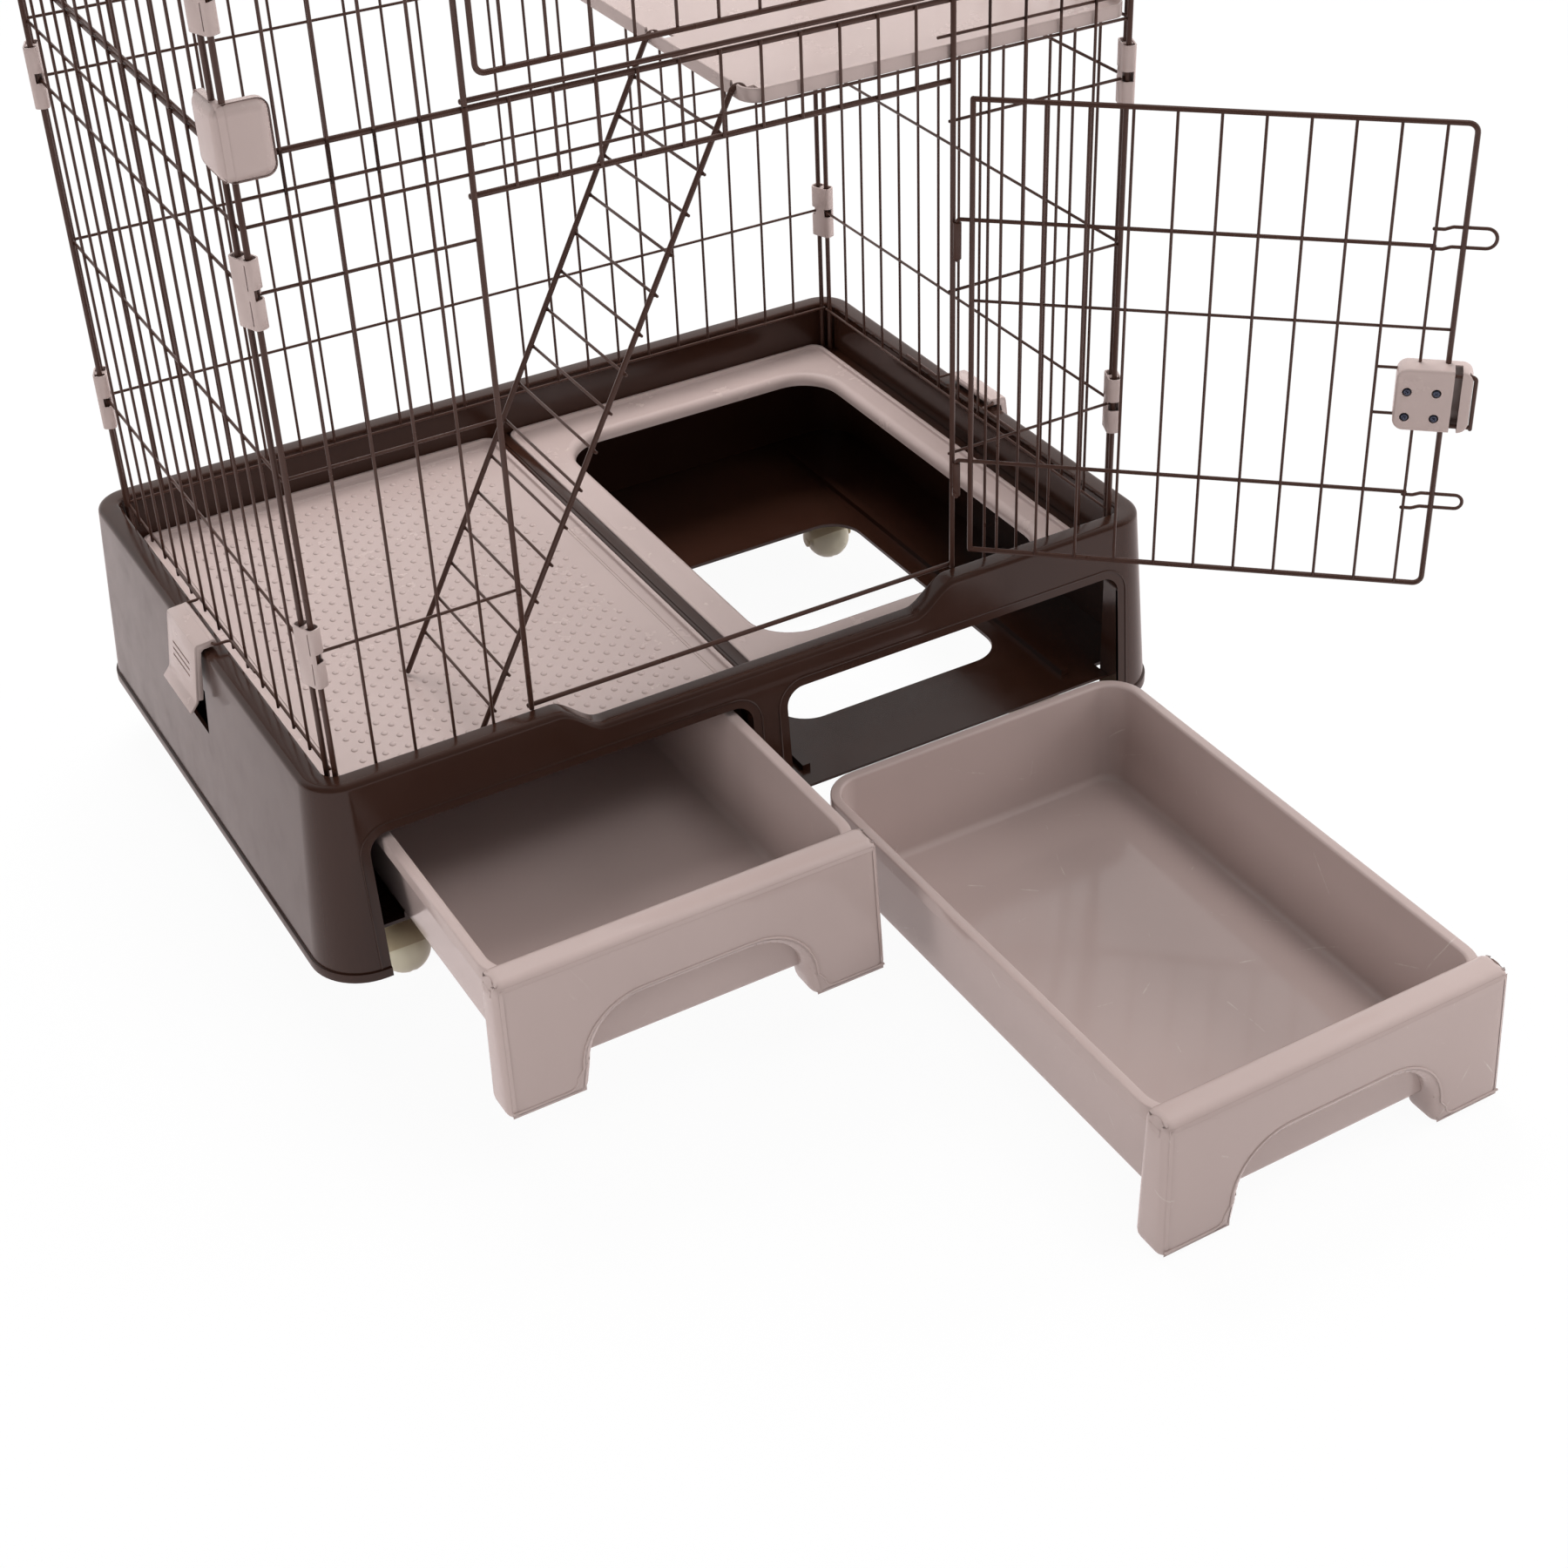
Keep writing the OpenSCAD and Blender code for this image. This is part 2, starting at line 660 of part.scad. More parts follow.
module front_panel(z, foot) {
    for (side = [-1, 1]) {
        wire_z(foot, z + panel_h + stub, side * wide_half, 0, thick_d);
        wire_z(z - stub, z + panel_h + stub, side * jamb_x, 0, thick_d);
        for (k = [1:jamb_gaps - 1])
            wire_z(z - stub, z + panel_h + stub, side * (wide_half - k * wide_pitch), 0, thin_d);
        for (h = [row_1, row_2, row_3])
            wire_x(side > 0 ? jamb_x - stub : -wide_half - stub, side > 0 ? wide_half + stub :
                -jamb_x + stub,
                thin_side, z + h, thin_d);
    }
    for (k = [jamb_gaps + 1:gaps_wide - jamb_gaps - 1])
        wire_z(z + lintel, z + panel_h + stub, -wide_half + k * wide_pitch, 0, thin_d);
    row(wide_half, z, thin_d);
    row(wide_half, z + row_4, thin_d);
    row(wide_half, z + panel_h, thick_d);
    wire_x(-jamb_x - stub, jamb_x + stub, mixed_side, z + lintel, thick_d);
    for (h = [door_row_1, door_row_3])
        translate([jamb_x, -door_out, z + h - thick_d / 2 - seat_gap - sleeve_l])
        difference() {
            union() {
                cylinder(h = sleeve_l, d = sleeve_d, $fn = smooth);
                translate([-1.5, 0, 1]) cube([3, door_out, sleeve_l - 2]);
            }
            translate([0, 0, -over])
                cylinder(h = sleeve_l + 2 * over, d = pin_d + 2 * pin_gap, $fn = smooth);
        }
}

module panels_at(z, foot, which) {
    color(brown) {
        if (which == "front") translate([0, -panel_y, 0]) front_panel(z, foot);
        if (which == "back") translate([0, panel_y, 0]) rotate(180) plain_panel(wide_half, gaps_wide, z, foot);
        if (which == "left") translate([-panel_x, 0, 0]) rotate(-90) plain_panel(deep_half, gaps_deep, z, foot);
        if (which == "right") translate([panel_x, 0, 0]) rotate(90) plain_panel(deep_half, gaps_deep, z, foot);
    }
}

module lower_front_panel() {
    panels_at(tier_1, deck_z, "front");
}

module lower_back_panel() {
    panels_at(tier_1, deck_z, "back");
}

module lower_left_panel() {
    panels_at(tier_1, deck_z, "left");
    color(brown) translate([-panel_x, 0, 0]) rotate(-90) clip_wire();
}

module lower_right_panel() {
    panels_at(tier_1, deck_z, "right");
    color(brown) translate([panel_x, 0, 0]) rotate(90) clip_wire();
}

module upper_front_panel() {
    panels_at(tier_2, tier_2 - thick_d / 2, "front");
}

module upper_back_panel() {
    panels_at(tier_2, tier_2 - thick_d / 2, "back");
}

module upper_left_panel() {
    panels_at(tier_2, tier_2 - thick_d / 2, "left");
}

module upper_right_panel() {
    panels_at(tier_2, tier_2 - thick_d / 2, "right");
}

// Door, drawn closed with its hinge line at the origin and its free side towards -X
function door_post(k) = door_first + post_in + k * (door_w - post_in - post_out) / door_gaps;

module door_loop(z, h, up) {
    r = h / 2;
    mid = z + (up ? r : -r);
    end = -door_last - loop_out + r + thin_d / 2;
    for (dz = [-r, r]) wire_x(end, -door_last + 3, 0, mid + dz, thin_d);
    translate([end, 0, mid]) rotate([90, 0, 0]) rotate(90) wire_bend(r, 180, thin_d);
}

module door() {
    low = door_low;
    high = door_high;
    bend = 8;
    color(brown) {
        wire_z(low, high, -door_first, 0, thick_d);
        wire_z(low + bend, high - bend, -door_last, 0, thick_d);
        for (z = [low, high]) wire_x(-door_last + bend, -door_first, 0, z, thick_d);
        for (z = [low + bend, high - bend], up = z > low + bend + 1 ? 1 : -1)
            translate([-door_last + bend, 0, z]) rotate([90, 0, 0]) rotate(up > 0 ? 90 : 180)
                wire_bend(bend, 90, thick_d);
        for (k = [0:door_gaps]) wire_z(low, high, -door_post(k), thin_side / 2, thin_d);
        wire_x(-door_last - 2, -door_first - 2, -thin_side / 2, door_row_2, thin_d);
        for (z = [door_row_1, door_row_3]) {
            wire_x(-door_last - 2, 0, 0, z, pin_d - weld);
            translate([0, 0, z]) sphere(d = pin_d, $fn = smooth);
            translate([0, 0, z - sleeve_l - 4]) cylinder(h = sleeve_l + 4, d = pin_d, $fn = smooth);
        }
        for (z = [latch_z - 22, latch_z + 22]) wire_x(-door_last, -door_post(door_gaps - 1), 0, z, thin_d);
        door_loop(door_row_1, 13.4, false);
        door_loop(door_row_3, 17.8, true);
    }
}

// Latch block: two halves clamped round the door's wires
module latch_block(y1, y2) {
    translate([-(latch_start + latch_end) / 2, y2, latch_z]) rotate([90, 0, 0])
        rounded_block(latch_w, latch_h, 8, y2 - y1);
}

module latch_channels() {
    g = 2 * seat_gap;
    wire_z(latch_z - latch_h, latch_z + latch_h, -door_last, 0, thick_d + g);
    wire_z(latch_z - latch_h, latch_z + latch_h, -door_post(door_gaps), thin_side / 2, thin_d + g);
    for (z = [latch_z - 22, latch_z + 22]) wire_x(-door_last, -latch_start + over, 0, z, thin_d + g);
}

module latch_screw_holes(d) {
    for (p = screw_places) translate([-latch_start - p[0], latch_in + over, latch_z + p[1]])
        rotate([90, 0, 0])
        cylinder(h = latch_in + latch_out - 2, d = d, $fn = smooth);
}

module latch_outer() {
    color(greige) difference() {
        latch_block(-latch_out, 0);
        latch_channels();
        latch_screw_holes(3.2);
    }
}

module latch_inner() {
    color(greige) difference() {
        latch_block(0, latch_in);
        latch_channels();
        latch_screw_holes(3.2);
        translate([-jamb_s - 4, door_out - thick_d / 2 - 1, latch_z - latch_h])
            cube([8, latch_in, 2 * latch_h]);
        translate([-latch_end - over, bolt_y - bolt_d / 2 - 0.5, latch_z - latch_h])
            cube([latch_end + over - bolt_in, latch_in, 2 * latch_h]);
        for (z = [-bolt_leg, bolt_leg]) translate([-latch_start - latch_w, bolt_y, latch_z + z])
            rotate([0, 90, 0])
            cylinder(h = latch_w - 2, d = bolt_d + 2 * pin_gap, $fn = smooth);
    }
}

module latch_bolt() {
    color(brown) {
        for (z = [-bolt_leg, bolt_leg]) {
            translate([-bolt_end, bolt_y, latch_z + z]) rotate([0, 90, 0])
                cylinder(h = bolt_end - bolt_tip, d = bolt_d, $fn = smooth);
            translate([-bolt_end, bolt_y, latch_z + z]) sphere(d = bolt_d, $fn = smooth);
        }
        translate([-bolt_end, bolt_y, latch_z - bolt_leg])
            cylinder(h = 2 * bolt_leg, d = bolt_d, $fn = smooth);
    }
}

module latch_screws() {
    color(steel) for (p = screw_places) translate([-latch_start - p[0], latch_in, latch_z + p[1]]) {
        rotate([90, 0, 0]) cylinder(h = latch_in + latch_out - 4, d = 3.1, $fn = smooth);
        difference() {
            rotate([-90, 0, 0]) cylinder(h = 1.4, d = 6, $fn = smooth);
            for (a = [0, 90]) rotate([0, a, 0]) translate([-2, 0.7, -0.4]) cube([4, 2, 0.8]);
        }
    }
}

module on_door(z, turn) {
    translate([jamb_x, hinge_y, z]) rotate(turn) children();
}

// Corner clips: two leaves, one round each of the two posts that meet at a corner
module corner_clips(tier) {
    bore = thick_d + 2 * seat_gap;
    color(greige) for (sx = [0, 1], sy = [0, 1], h = [row_1 - 1, row_3 + 3])
        mirror([sx, 0, 0]) mirror([0, sy, 0]) translate([0, 0, tier + h - clip_h / 2]) difference() {
            linear_extrude(clip_h) {
                translate([wide_half, panel_y]) circle(d = clip_d, $fn = smooth);
                translate([panel_x, deep_half]) circle(d = clip_d, $fn = smooth);
                translate([(wide_half + panel_x) / 2, (panel_y + deep_half) / 2])
                    rotate(atan2(panel_y - deep_half, wide_half - panel_x))
                        square([norm([panel_x - wide_half, panel_y - deep_half]), clip_d - weld], center =
                            true);
            }
            translate([wide_half, panel_y, -over]) cylinder(h = clip_h + 2 * over, d = bore, $fn = smooth);
            translate([panel_x, deep_half, -over]) cylinder(h = clip_h + 2 * over, d = bore, $fn = smooth);
            translate([wide_half - clip_d, panel_y - clip_d, clip_h / 2 - 5]) cube([clip_d + 5, clip_d, 10]);
            translate([panel_x - clip_d, deep_half - clip_d, clip_h / 2 - 5]) cube([clip_d, clip_d + 5, 10]);
        }
}

// Storey brackets: corner pieces that hold the upper panels on the lower ones
module storey_brackets() {
    z = tier_2 - 21;
    d = thick_d + 2 * seat_gap;
    lap = 5;
    color(greige) for (sx = [0, 1], sy = [0, 1]) mirror([sx, 0, 0]) mirror([0, sy, 0]) difference() {
        translate([0, 0, z]) {
            translate([panel_x + lap - bracket_w, panel_y - bracket_t / 2, 0])
                cube([bracket_w, bracket_t, bracket_h]);
            translate([panel_x - bracket_t / 2, panel_y + lap - bracket_w, 0])
                cube([bracket_t, bracket_w, bracket_h]);
        }
        wire_z(z - over, z + bracket_h + over, wide_half, panel_y, d);
        wire_z(z - over, z + bracket_h + over, panel_x, deep_half, d);
        wire_z(z - over, z + bracket_h + over, wide_half - wide_pitch, panel_y, thin_d + 2 * seat_gap);
        wire_z(z - over, z + bracket_h + over, panel_x, deep_half - deep_pitch, thin_d + 2 * seat_gap);
        for (h = [tier_1 + panel_h, tier_2]) {
            wire_x(panel_x - 2 * bracket_w, wide_half + stub + 1, panel_y - mixed_side, h, d + 1.6);
            wire_y(panel_y - 2 * bracket_w, deep_half + stub + 1, panel_x - mixed_side, h, d + 1.6);
        }
    }
}

// Shelf on the right, carried by the fourth cross wires
module shelf() {
    middle = (shelf_x1 + shelf_x2) / 2;
    lip_t = 2.5;
    slot = thick_d + 6;
    turn = 16;
    bar_margin = turn + 2;
    color(greige) difference() {
        union() {
            translate([middle, 0, shelf_z]) difference() {
                rounded_block(shelf_w, shelf_d, turn, shelf_t + shelf_lip);
                translate([0, 0, shelf_t])
                    rounded_block(shelf_w - 2 * lip_t, shelf_d - 2 * lip_t, turn - lip_t, base_h);
            }
            translate([shelf_x1 + bar_d / 2, -shelf_d / 2 + bar_margin, bar_z]) rotate([-90, 0, 0])
                cylinder(h = shelf_d - 2 * bar_margin, d = bar_d, $fn = smooth);
        }
        for (y = [-1, 1]) translate([shelf_x1 - over, ladder_y + y * ladder_w / 2 - slot / 2,
            shelf_z - bar_d])
            difference() {
                cube([bar_d + 14, slot, 4 * bar_d]);
                translate([over + bar_d / 2, -over, bar_z - shelf_z + bar_d]) rotate([-90, 0, 0])
                    cylinder(h = slot + 2 * over, d = bar_d, $fn = smooth);
            }
    }
}

// Ladder, hooked over the shelf's edge bar
module ladder() {
    rungs = floor((ladder_l - 40) / rung_pitch);
    color(brown) translate([shelf_x1 + bar_d / 2, ladder_y, bar_z]) rotate([0, ladder_lean, 0]) {
        for (y = [-1, 1]) {
            translate([-hook_r, y * ladder_w / 2, -ladder_l])
                cylinder(h = ladder_l + 1, d = thick_d, $fn = smooth);
            translate([0, y * ladder_w / 2 + hook_t / 2, 0]) rotate([90, 0, 0]) linear_extrude(hook_t)
                difference() {
                circle(r = hook_r + hook_t / 2, $fn = smooth);
                circle(r = hook_r - hook_t / 2, $fn = smooth);
                translate([-2 * hook_r, -2 * hook_r - 1]) square([4 * hook_r, 2 * hook_r]);
            }
        }
        for (k = [0:rungs - 1])
            wire_y(-ladder_w / 2 - 4, ladder_w / 2 + 4, -hook_r + mixed_side,
                -ladder_l + 43 + k * rung_pitch, thin_d);
    }
}

module roof_panel() {
    half_x = panel_x - 2;
    half_y = panel_y - 2;
    color(brown) {
        for (y = [-half_y, half_y]) wire_x(-half_x - thick_d / 2, half_x + thick_d / 2, y, roof_z, thick_d);
        for (x = [-half_x, half_x]) wire_y(-half_y, half_y, x, roof_z, thick_d);
        for (y = [-half_y / 2, 0, half_y / 2]) wire_x(-half_x, half_x, y, roof_z - thin_side / 2, thin_d);
        for (k = [1:gaps_wide - 1])
            wire_y(-half_y, half_y, -half_x + k * 2 * half_x / gaps_wide, roof_z + thin_side / 2, thin_d);
    }
}

base_housing();
floor_frame();
center_rail();
floor_tray();
litter_ring();
left_drawer_tray();
left_drawer_fascia();
litter_drawer_tray();
litter_drawer_fascia();
caster_at(-1, -1) caster_hood();  // caster_hood_front_left
caster_at(1, -1) caster_hood();  // caster_hood_front_right
caster_at(-1, 1) caster_hood();  // caster_hood_back_left
caster_at(1, 1) caster_hood();  // caster_hood_back_right
caster_at(-1, -1) caster_ball();  // caster_ball_front_left
caster_at(1, -1) caster_ball();  // caster_ball_front_right
caster_at(-1, 1) caster_ball();  // caster_ball_back_left
caster_at(1, 1) caster_ball();  // caster_ball_back_right
side_clip_left();
side_clip_right();
lower_front_panel();
lower_back_panel();
lower_left_panel();
lower_right_panel();
on_door(tier_1, door_open) door();  // lower_door
on_door(tier_1, door_open) latch_outer();  // lower_latch_outer
on_door(tier_1, door_open) latch_inner();  // lower_latch_inner
on_door(tier_1, door_open) latch_bolt();  // lower_latch_bolt
on_door(tier_1, door_open) latch_screws();  // lower_latch_screws
corner_clips(tier_1);  // lower_corner_clips
storey_brackets();
shelf();
ladder();
upper_front_panel();
upper_back_panel();
upper_left_panel();
upper_right_panel();
on_door(tier_2, 0) door();  // upper_door
on_door(tier_2, 0) latch_outer();  // upper_latch_outer
on_door(tier_2, 0) latch_inner();  // upper_latch_inner
on_door(tier_2, 0) translate([bolt_travel, 0, 0]) latch_bolt();  // upper_latch_bolt
on_door(tier_2, 0) latch_screws();  // upper_latch_screws
corner_clips(tier_2);  // upper_corner_clips
roof_panel();
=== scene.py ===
import math

import bpy
from mathutils import Matrix, Quaternion, Vector


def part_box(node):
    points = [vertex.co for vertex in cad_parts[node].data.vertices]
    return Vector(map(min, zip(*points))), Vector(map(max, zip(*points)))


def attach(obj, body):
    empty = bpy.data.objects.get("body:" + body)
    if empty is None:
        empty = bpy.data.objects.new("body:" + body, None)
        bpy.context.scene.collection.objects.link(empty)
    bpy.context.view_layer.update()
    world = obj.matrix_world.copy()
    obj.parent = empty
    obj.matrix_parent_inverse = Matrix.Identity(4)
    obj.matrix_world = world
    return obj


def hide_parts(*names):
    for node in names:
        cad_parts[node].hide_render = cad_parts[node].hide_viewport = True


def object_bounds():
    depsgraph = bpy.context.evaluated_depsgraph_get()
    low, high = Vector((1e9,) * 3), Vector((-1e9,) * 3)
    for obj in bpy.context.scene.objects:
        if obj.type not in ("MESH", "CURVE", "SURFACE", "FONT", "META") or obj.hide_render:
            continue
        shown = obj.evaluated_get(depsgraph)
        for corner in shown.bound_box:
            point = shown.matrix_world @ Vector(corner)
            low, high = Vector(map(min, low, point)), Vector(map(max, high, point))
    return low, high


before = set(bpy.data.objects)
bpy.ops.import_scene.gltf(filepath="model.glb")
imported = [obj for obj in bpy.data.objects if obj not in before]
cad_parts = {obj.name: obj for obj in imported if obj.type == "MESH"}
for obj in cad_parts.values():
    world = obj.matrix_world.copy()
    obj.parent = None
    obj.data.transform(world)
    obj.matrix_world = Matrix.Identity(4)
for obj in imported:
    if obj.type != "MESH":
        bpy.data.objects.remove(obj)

cad_low, cad_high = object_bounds()


# Camera: a long lens from the front left, looking down into the base, with the
# picture's edge well below the drawers, as the photograph was framed.
photo_side = 1800
focal_px = 2910.5
axis_px = (996.3, 845.5)
eye = Vector((-0.9008, -1.9854, 1.4339))
azimuth = math.radians(30.85)
downward = math.radians(35.07)
roll = math.radians(-1.145)
look = Vector((
    math.sin(azimuth) * math.cos(downward),
    math.cos(azimuth) * math.cos(downward),
    -math.sin(downward),
))
bpy.ops.object.camera_add(location=eye)
camera = bpy.context.object
camera.rotation_mode = "QUATERNION"
camera.rotation_quaternion = look.to_track_quat("-Z", "Y") @ Quaternion((0, 0, 1), roll)
camera.data.sensor_width = 36
camera.data.lens = 36 * focal_px / photo_side
camera.data.shift_x = (photo_side / 2 - axis_px[0]) / photo_side
camera.data.shift_y = (axis_px[1] - photo_side / 2) / photo_side
bpy.context.scene.camera = camera
bpy.context.scene.view_settings.view_transform = "Standard"


# Studio: a plain white floor that glossy walls mirror, the main softbox above and
# behind, a smaller one high in front, and low ones on three sides.
floor_height = cad_low.z
bpy.ops.mesh.primitive_plane_add(size=60, location=(0, 0, floor_height))
floor = bpy.context.object
floor.name = "studio_floor"


def shader_node(tree, kind, values=None, **settings):
    """A node with its settings, and values for its inputs by name or place"""
    node = tree.nodes.new("ShaderNode" + kind)
    for name, value in settings.items():
        setattr(node, name, value)
    for place, value in (values or {}).items():
        node.inputs[place].default_value = value
    return node


def connect(tree, *runs):
    """Links nodes; each run holds a node, its output, the next node and its input"""
    for source, output, target, place in runs:
        tree.links.new(source.outputs[output], target.inputs[place])


floor_glow = 0.95
warm_white, pure_white = (0.95, 0.83, 0.82, 1), (1, 1, 1, 1)
floor_paint = bpy.data.materials.new("white_floor")
floor_paint.use_nodes = True
tree = floor_paint.node_tree
tree.nodes.clear()
paint = shader_node(
    tree, "BsdfPrincipled", {"Base Color": (0.86, 0.86, 0.86, 1), "Roughness": 0.7, "Specular IOR Level": 0.1}
)
glow = shader_node(tree, "Emission", {"Strength": 1.0})
warmed = shader_node(tree, "Mix", data_type="RGBA")
warmed.inputs["A"].default_value = warm_white
warmed.inputs["B"].default_value = pure_white
seen = shader_node(tree, "LightPath")
share = shader_node(tree, "Math", {1: floor_glow}, operation="MULTIPLY")
mirror = shader_node(tree, "Math", {1: floor_glow}, operation="MULTIPLY_ADD")
blend = shader_node(tree, "MixShader")
out = shader_node(tree, "OutputMaterial")
connect(
    tree,
    (seen, "Is Camera Ray", warmed, "Factor"),
    (warmed, "Result", glow, "Color"),
    (seen, "Is Camera Ray", share, 0),
    (seen, "Is Glossy Ray", mirror, 0),
    (share, 0, mirror, 2),
    (mirror, 0, blend, 0),
    (paint, 0, blend, 1),
    (glow, 0, blend, 2),
    (blend, 0, out, "Surface"),
)
floor.data.materials.append(floor_paint)

bright_side, behind_camera_view = Vector((0.45, 0.40, 0.8)).normalized(), (0.51, 0.86, 0)
sky = bpy.data.worlds.new("studio")
bpy.context.scene.world = sky
sky.use_nodes = True
tree = sky.node_tree
tree.nodes.clear()
side = shader_node(tree, "TexCoord")
towards = shader_node(tree, "VectorMath", {1: bright_side}, operation="DOT_PRODUCT")
level = shader_node(tree, "MapRange", {"From Min": -0.6, "From Max": 0.9, "To Min": 0.16, "To Max": 0.70})
behind = shader_node(tree, "VectorMath", {1: behind_camera_view}, operation="DOT_PRODUCT")
shown = shader_node(tree, "MapRange", {"From Min": -0.3, "From Max": 0.3, "To Min": 0.2, "To Max": 1.0})
white = shader_node(tree, "Math", operation="MAXIMUM")
lit = shader_node(tree, "Background")
plain = shader_node(tree, "Background")
seen = shader_node(tree, "LightPath")
either = shader_node(tree, "Math", operation="MAXIMUM")
choose = shader_node(tree, "MixShader")
out = shader_node(tree, "OutputWorld")
connect(
    tree,
    (side, "Generated", towards, 0),
    (towards, "Value", level, "Value"),
    (level, "Result", lit, "Strength"),
    (side, "Generated", behind, 0),
    (behind, "Value", shown, "Value"),
    (shown, "Result", white, 0),
    (seen, "Is Camera Ray", white, 1),
    (white, 0, plain, "Strength"),
    (seen, "Is Camera Ray", either, 0),
    (seen, "Is Glossy Ray", either, 1),
    (either, 0, choose, 0),
    (lit, 0, choose, 1),
    (plain, 0, choose, 2),
    (choose, 0, out, "Surface"),
)


def softbox(name, place, target, size, power):
    """A large soft lamp that glossy surfaces don't show"""
    bpy.ops.object.light_add(type="AREA", location=place)
    lamp = bpy.context.object
    lamp.name = name
    lamp.rotation_euler = (Vector(target) - Vector(place)).to_track_quat("-Z", "Y").to_euler()
    lamp.data.shape = "RECTANGLE"
    lamp.data.size, lamp.data.size_y = size
    lamp.data.energy = power
    lamp.visible_glossy = False


softbox("back_softbox", (0.5, 1.5, 2.9), (0, -0.1, 0.1), (2.2, 1.6), 106)
softbox("right_softbox", (3.4, -1.0, 1.5), (0.1, -0.4, 0.1), (1.4, 1.6), 56)
softbox("front_softbox", (0.9, -3.3, 0.9), (0.1, -0.4, 0.1), (1.8, 1.0), 12)
softbox("left_softbox", (-3.3, -1.0, 0.8), (0, -0.3, 0.1), (1.4, 0.8), 34)
softbox("high_softbox", (1.1, -1.7, 3.0), (0.1, -0.5, 0.1), (1.4, 1.0), 20)


# Base: the dark brown moulding that everything stands on. Its skin is one sheet of
# plastic drawn in from the foot over the rolled rim into the pocket, then walled.
rim_size = (0.860, 0.600)
base_height, flare, skirt, corner, wall = 0.197, 0.015, 0.0015, 0.034, 0.0035
foot_band, rim_roll, rim_flat, pocket_roll = 0.009, 0.006, 0.0114, 0.004
deck = 0.147
bay_center, bay_half, bay_top, bay_round = 0.204, 0.186, 0.142, 0.018
sill_flat, sill_end, sill_drop = 0.160, 0.204, 0.026
dip_step, dip_low, dip_high = 0.004, 0.1476, base_height - 0.012


def rounded_face(name, size, radius, center, steps=10):
    """A flat face with round corners, left open in edit mode and selected"""
    bpy.ops.object.select_all(action="DESELECT")
    bpy.ops.mesh.primitive_plane_add(size=1, location=center)
    piece = bpy.context.object
    piece.name = name
    piece.scale = (size[0], size[1], 1)
    bpy.ops.object.transform_apply(location=True, rotation=True, scale=True)
    bpy.ops.object.mode_set(mode="EDIT")
    bpy.ops.mesh.bevel(offset=radius, segments=steps, affect="VERTICES")
    return piece


def draw_in(*steps):
    """Draws the selected face in and up, step by step, which leaves a sloped band behind each"""
    for inward, rise in steps:
        bpy.ops.mesh.inset(thickness=inward, depth=rise)


def quarter_roll(radius, count, kind="over"):
    """Steps that turn a rising wall over, a flat face down, or a falling wall into a floor"""
    turn = math.pi / 2 / count
    steps = []
    for k in range(count):
        across = radius * (math.cos(k * turn) - math.cos((k + 1) * turn))
        along = radius * (math.sin((k + 1) * turn) - math.sin(k * turn))
        steps.append({"over": (across, along), "down": (along, -across), "floor": (across, -along)}[kind])
    return steps


def only(piece):
    """Makes the piece the one that is selected and active"""
    bpy.ops.object.select_all(action="DESELECT")
    piece.select_set(True)
    bpy.context.view_layer.objects.active = piece


def finish_with(piece, kind, **settings):
    """Adds a modifier to the piece and applies it"""
    only(piece)
    modifier = piece.modifiers.new(kind.lower(), kind)
    for name, value in settings.items():
        setattr(modifier, name, value)
    bpy.ops.object.modifier_apply(modifier=modifier.name)


def pick_faces(piece, test):
    """In edit mode, selects only the faces whose middle and normal pass the test"""
    bpy.ops.mesh.select_all(action="DESELECT")
    bpy.ops.object.mode_set(mode="OBJECT")
    for face in piece.data.polygons:
        face.select = bool(test(face.center, face.normal))
    bpy.ops.object.mode_set(mode="EDIT")


def clear_picks():
    """Leaves nothing selected in the active mesh"""
    bpy.ops.object.mode_set(mode="EDIT")
    bpy.ops.mesh.select_all(action="DESELECT")
    bpy.ops.object.mode_set(mode="OBJECT")


def round_edges(piece, radius, steps, test):
    """Rounds the edges whose two ends pass the test"""
    for edge in piece.data.edges:
        edge.select = bool(test(*(piece.data.vertices[v].co for v in edge.vertices)))
    bpy.ops.object.mode_set(mode="EDIT")
    bpy.ops.mesh.select_mode(type="EDGE")
    bpy.ops.mesh.bevel(offset=radius, segments=steps)
    bpy.ops.object.mode_set(mode="OBJECT")


def join(name, *pieces):
    """Joins pieces into the first one and gives it the name"""
    only(pieces[0])
    for piece in pieces[1:]:
        piece.select_set(True)
    if len(pieces) > 1:
        bpy.ops.object.join()
    pieces[0].name = name
    return pieces[0]


def smooth(piece, angle=35):
    only(piece)
    bpy.ops.object.shade_smooth_by_angle(angle=math.radians(angle))


def cut(piece, tool):
    """Cuts the tool's shape out of the piece and throws the tool away"""
    finish_with(piece, "BOOLEAN", operation="DIFFERENCE", object=tool, solver="FAST")
    bpy.data.objects.remove(tool)


def block(name, low, high):
    """A block between two corners, left in object mode"""
    low, high = Vector(low), Vector(high)
    bpy.ops.object.select_all(action="DESELECT")
    bpy.ops.mesh.primitive_cube_add(size=1, location=(low + high) / 2)
    piece = bpy.context.object
    piece.name = name
    piece.scale = high - low
    bpy.ops.object.transform_apply(location=True, rotation=True, scale=True)
    return piece


def within(share):
    """The share, held between 0 and 1"""
    return min(1.0, max(0.0, share))


def sill_share(x):
    """0 on the high rim and 1 in the dip, with an S between them"""
    t = within((sill_end - abs(x)) / (sill_end - sill_flat))
    return t * t * (3 - 2 * t)


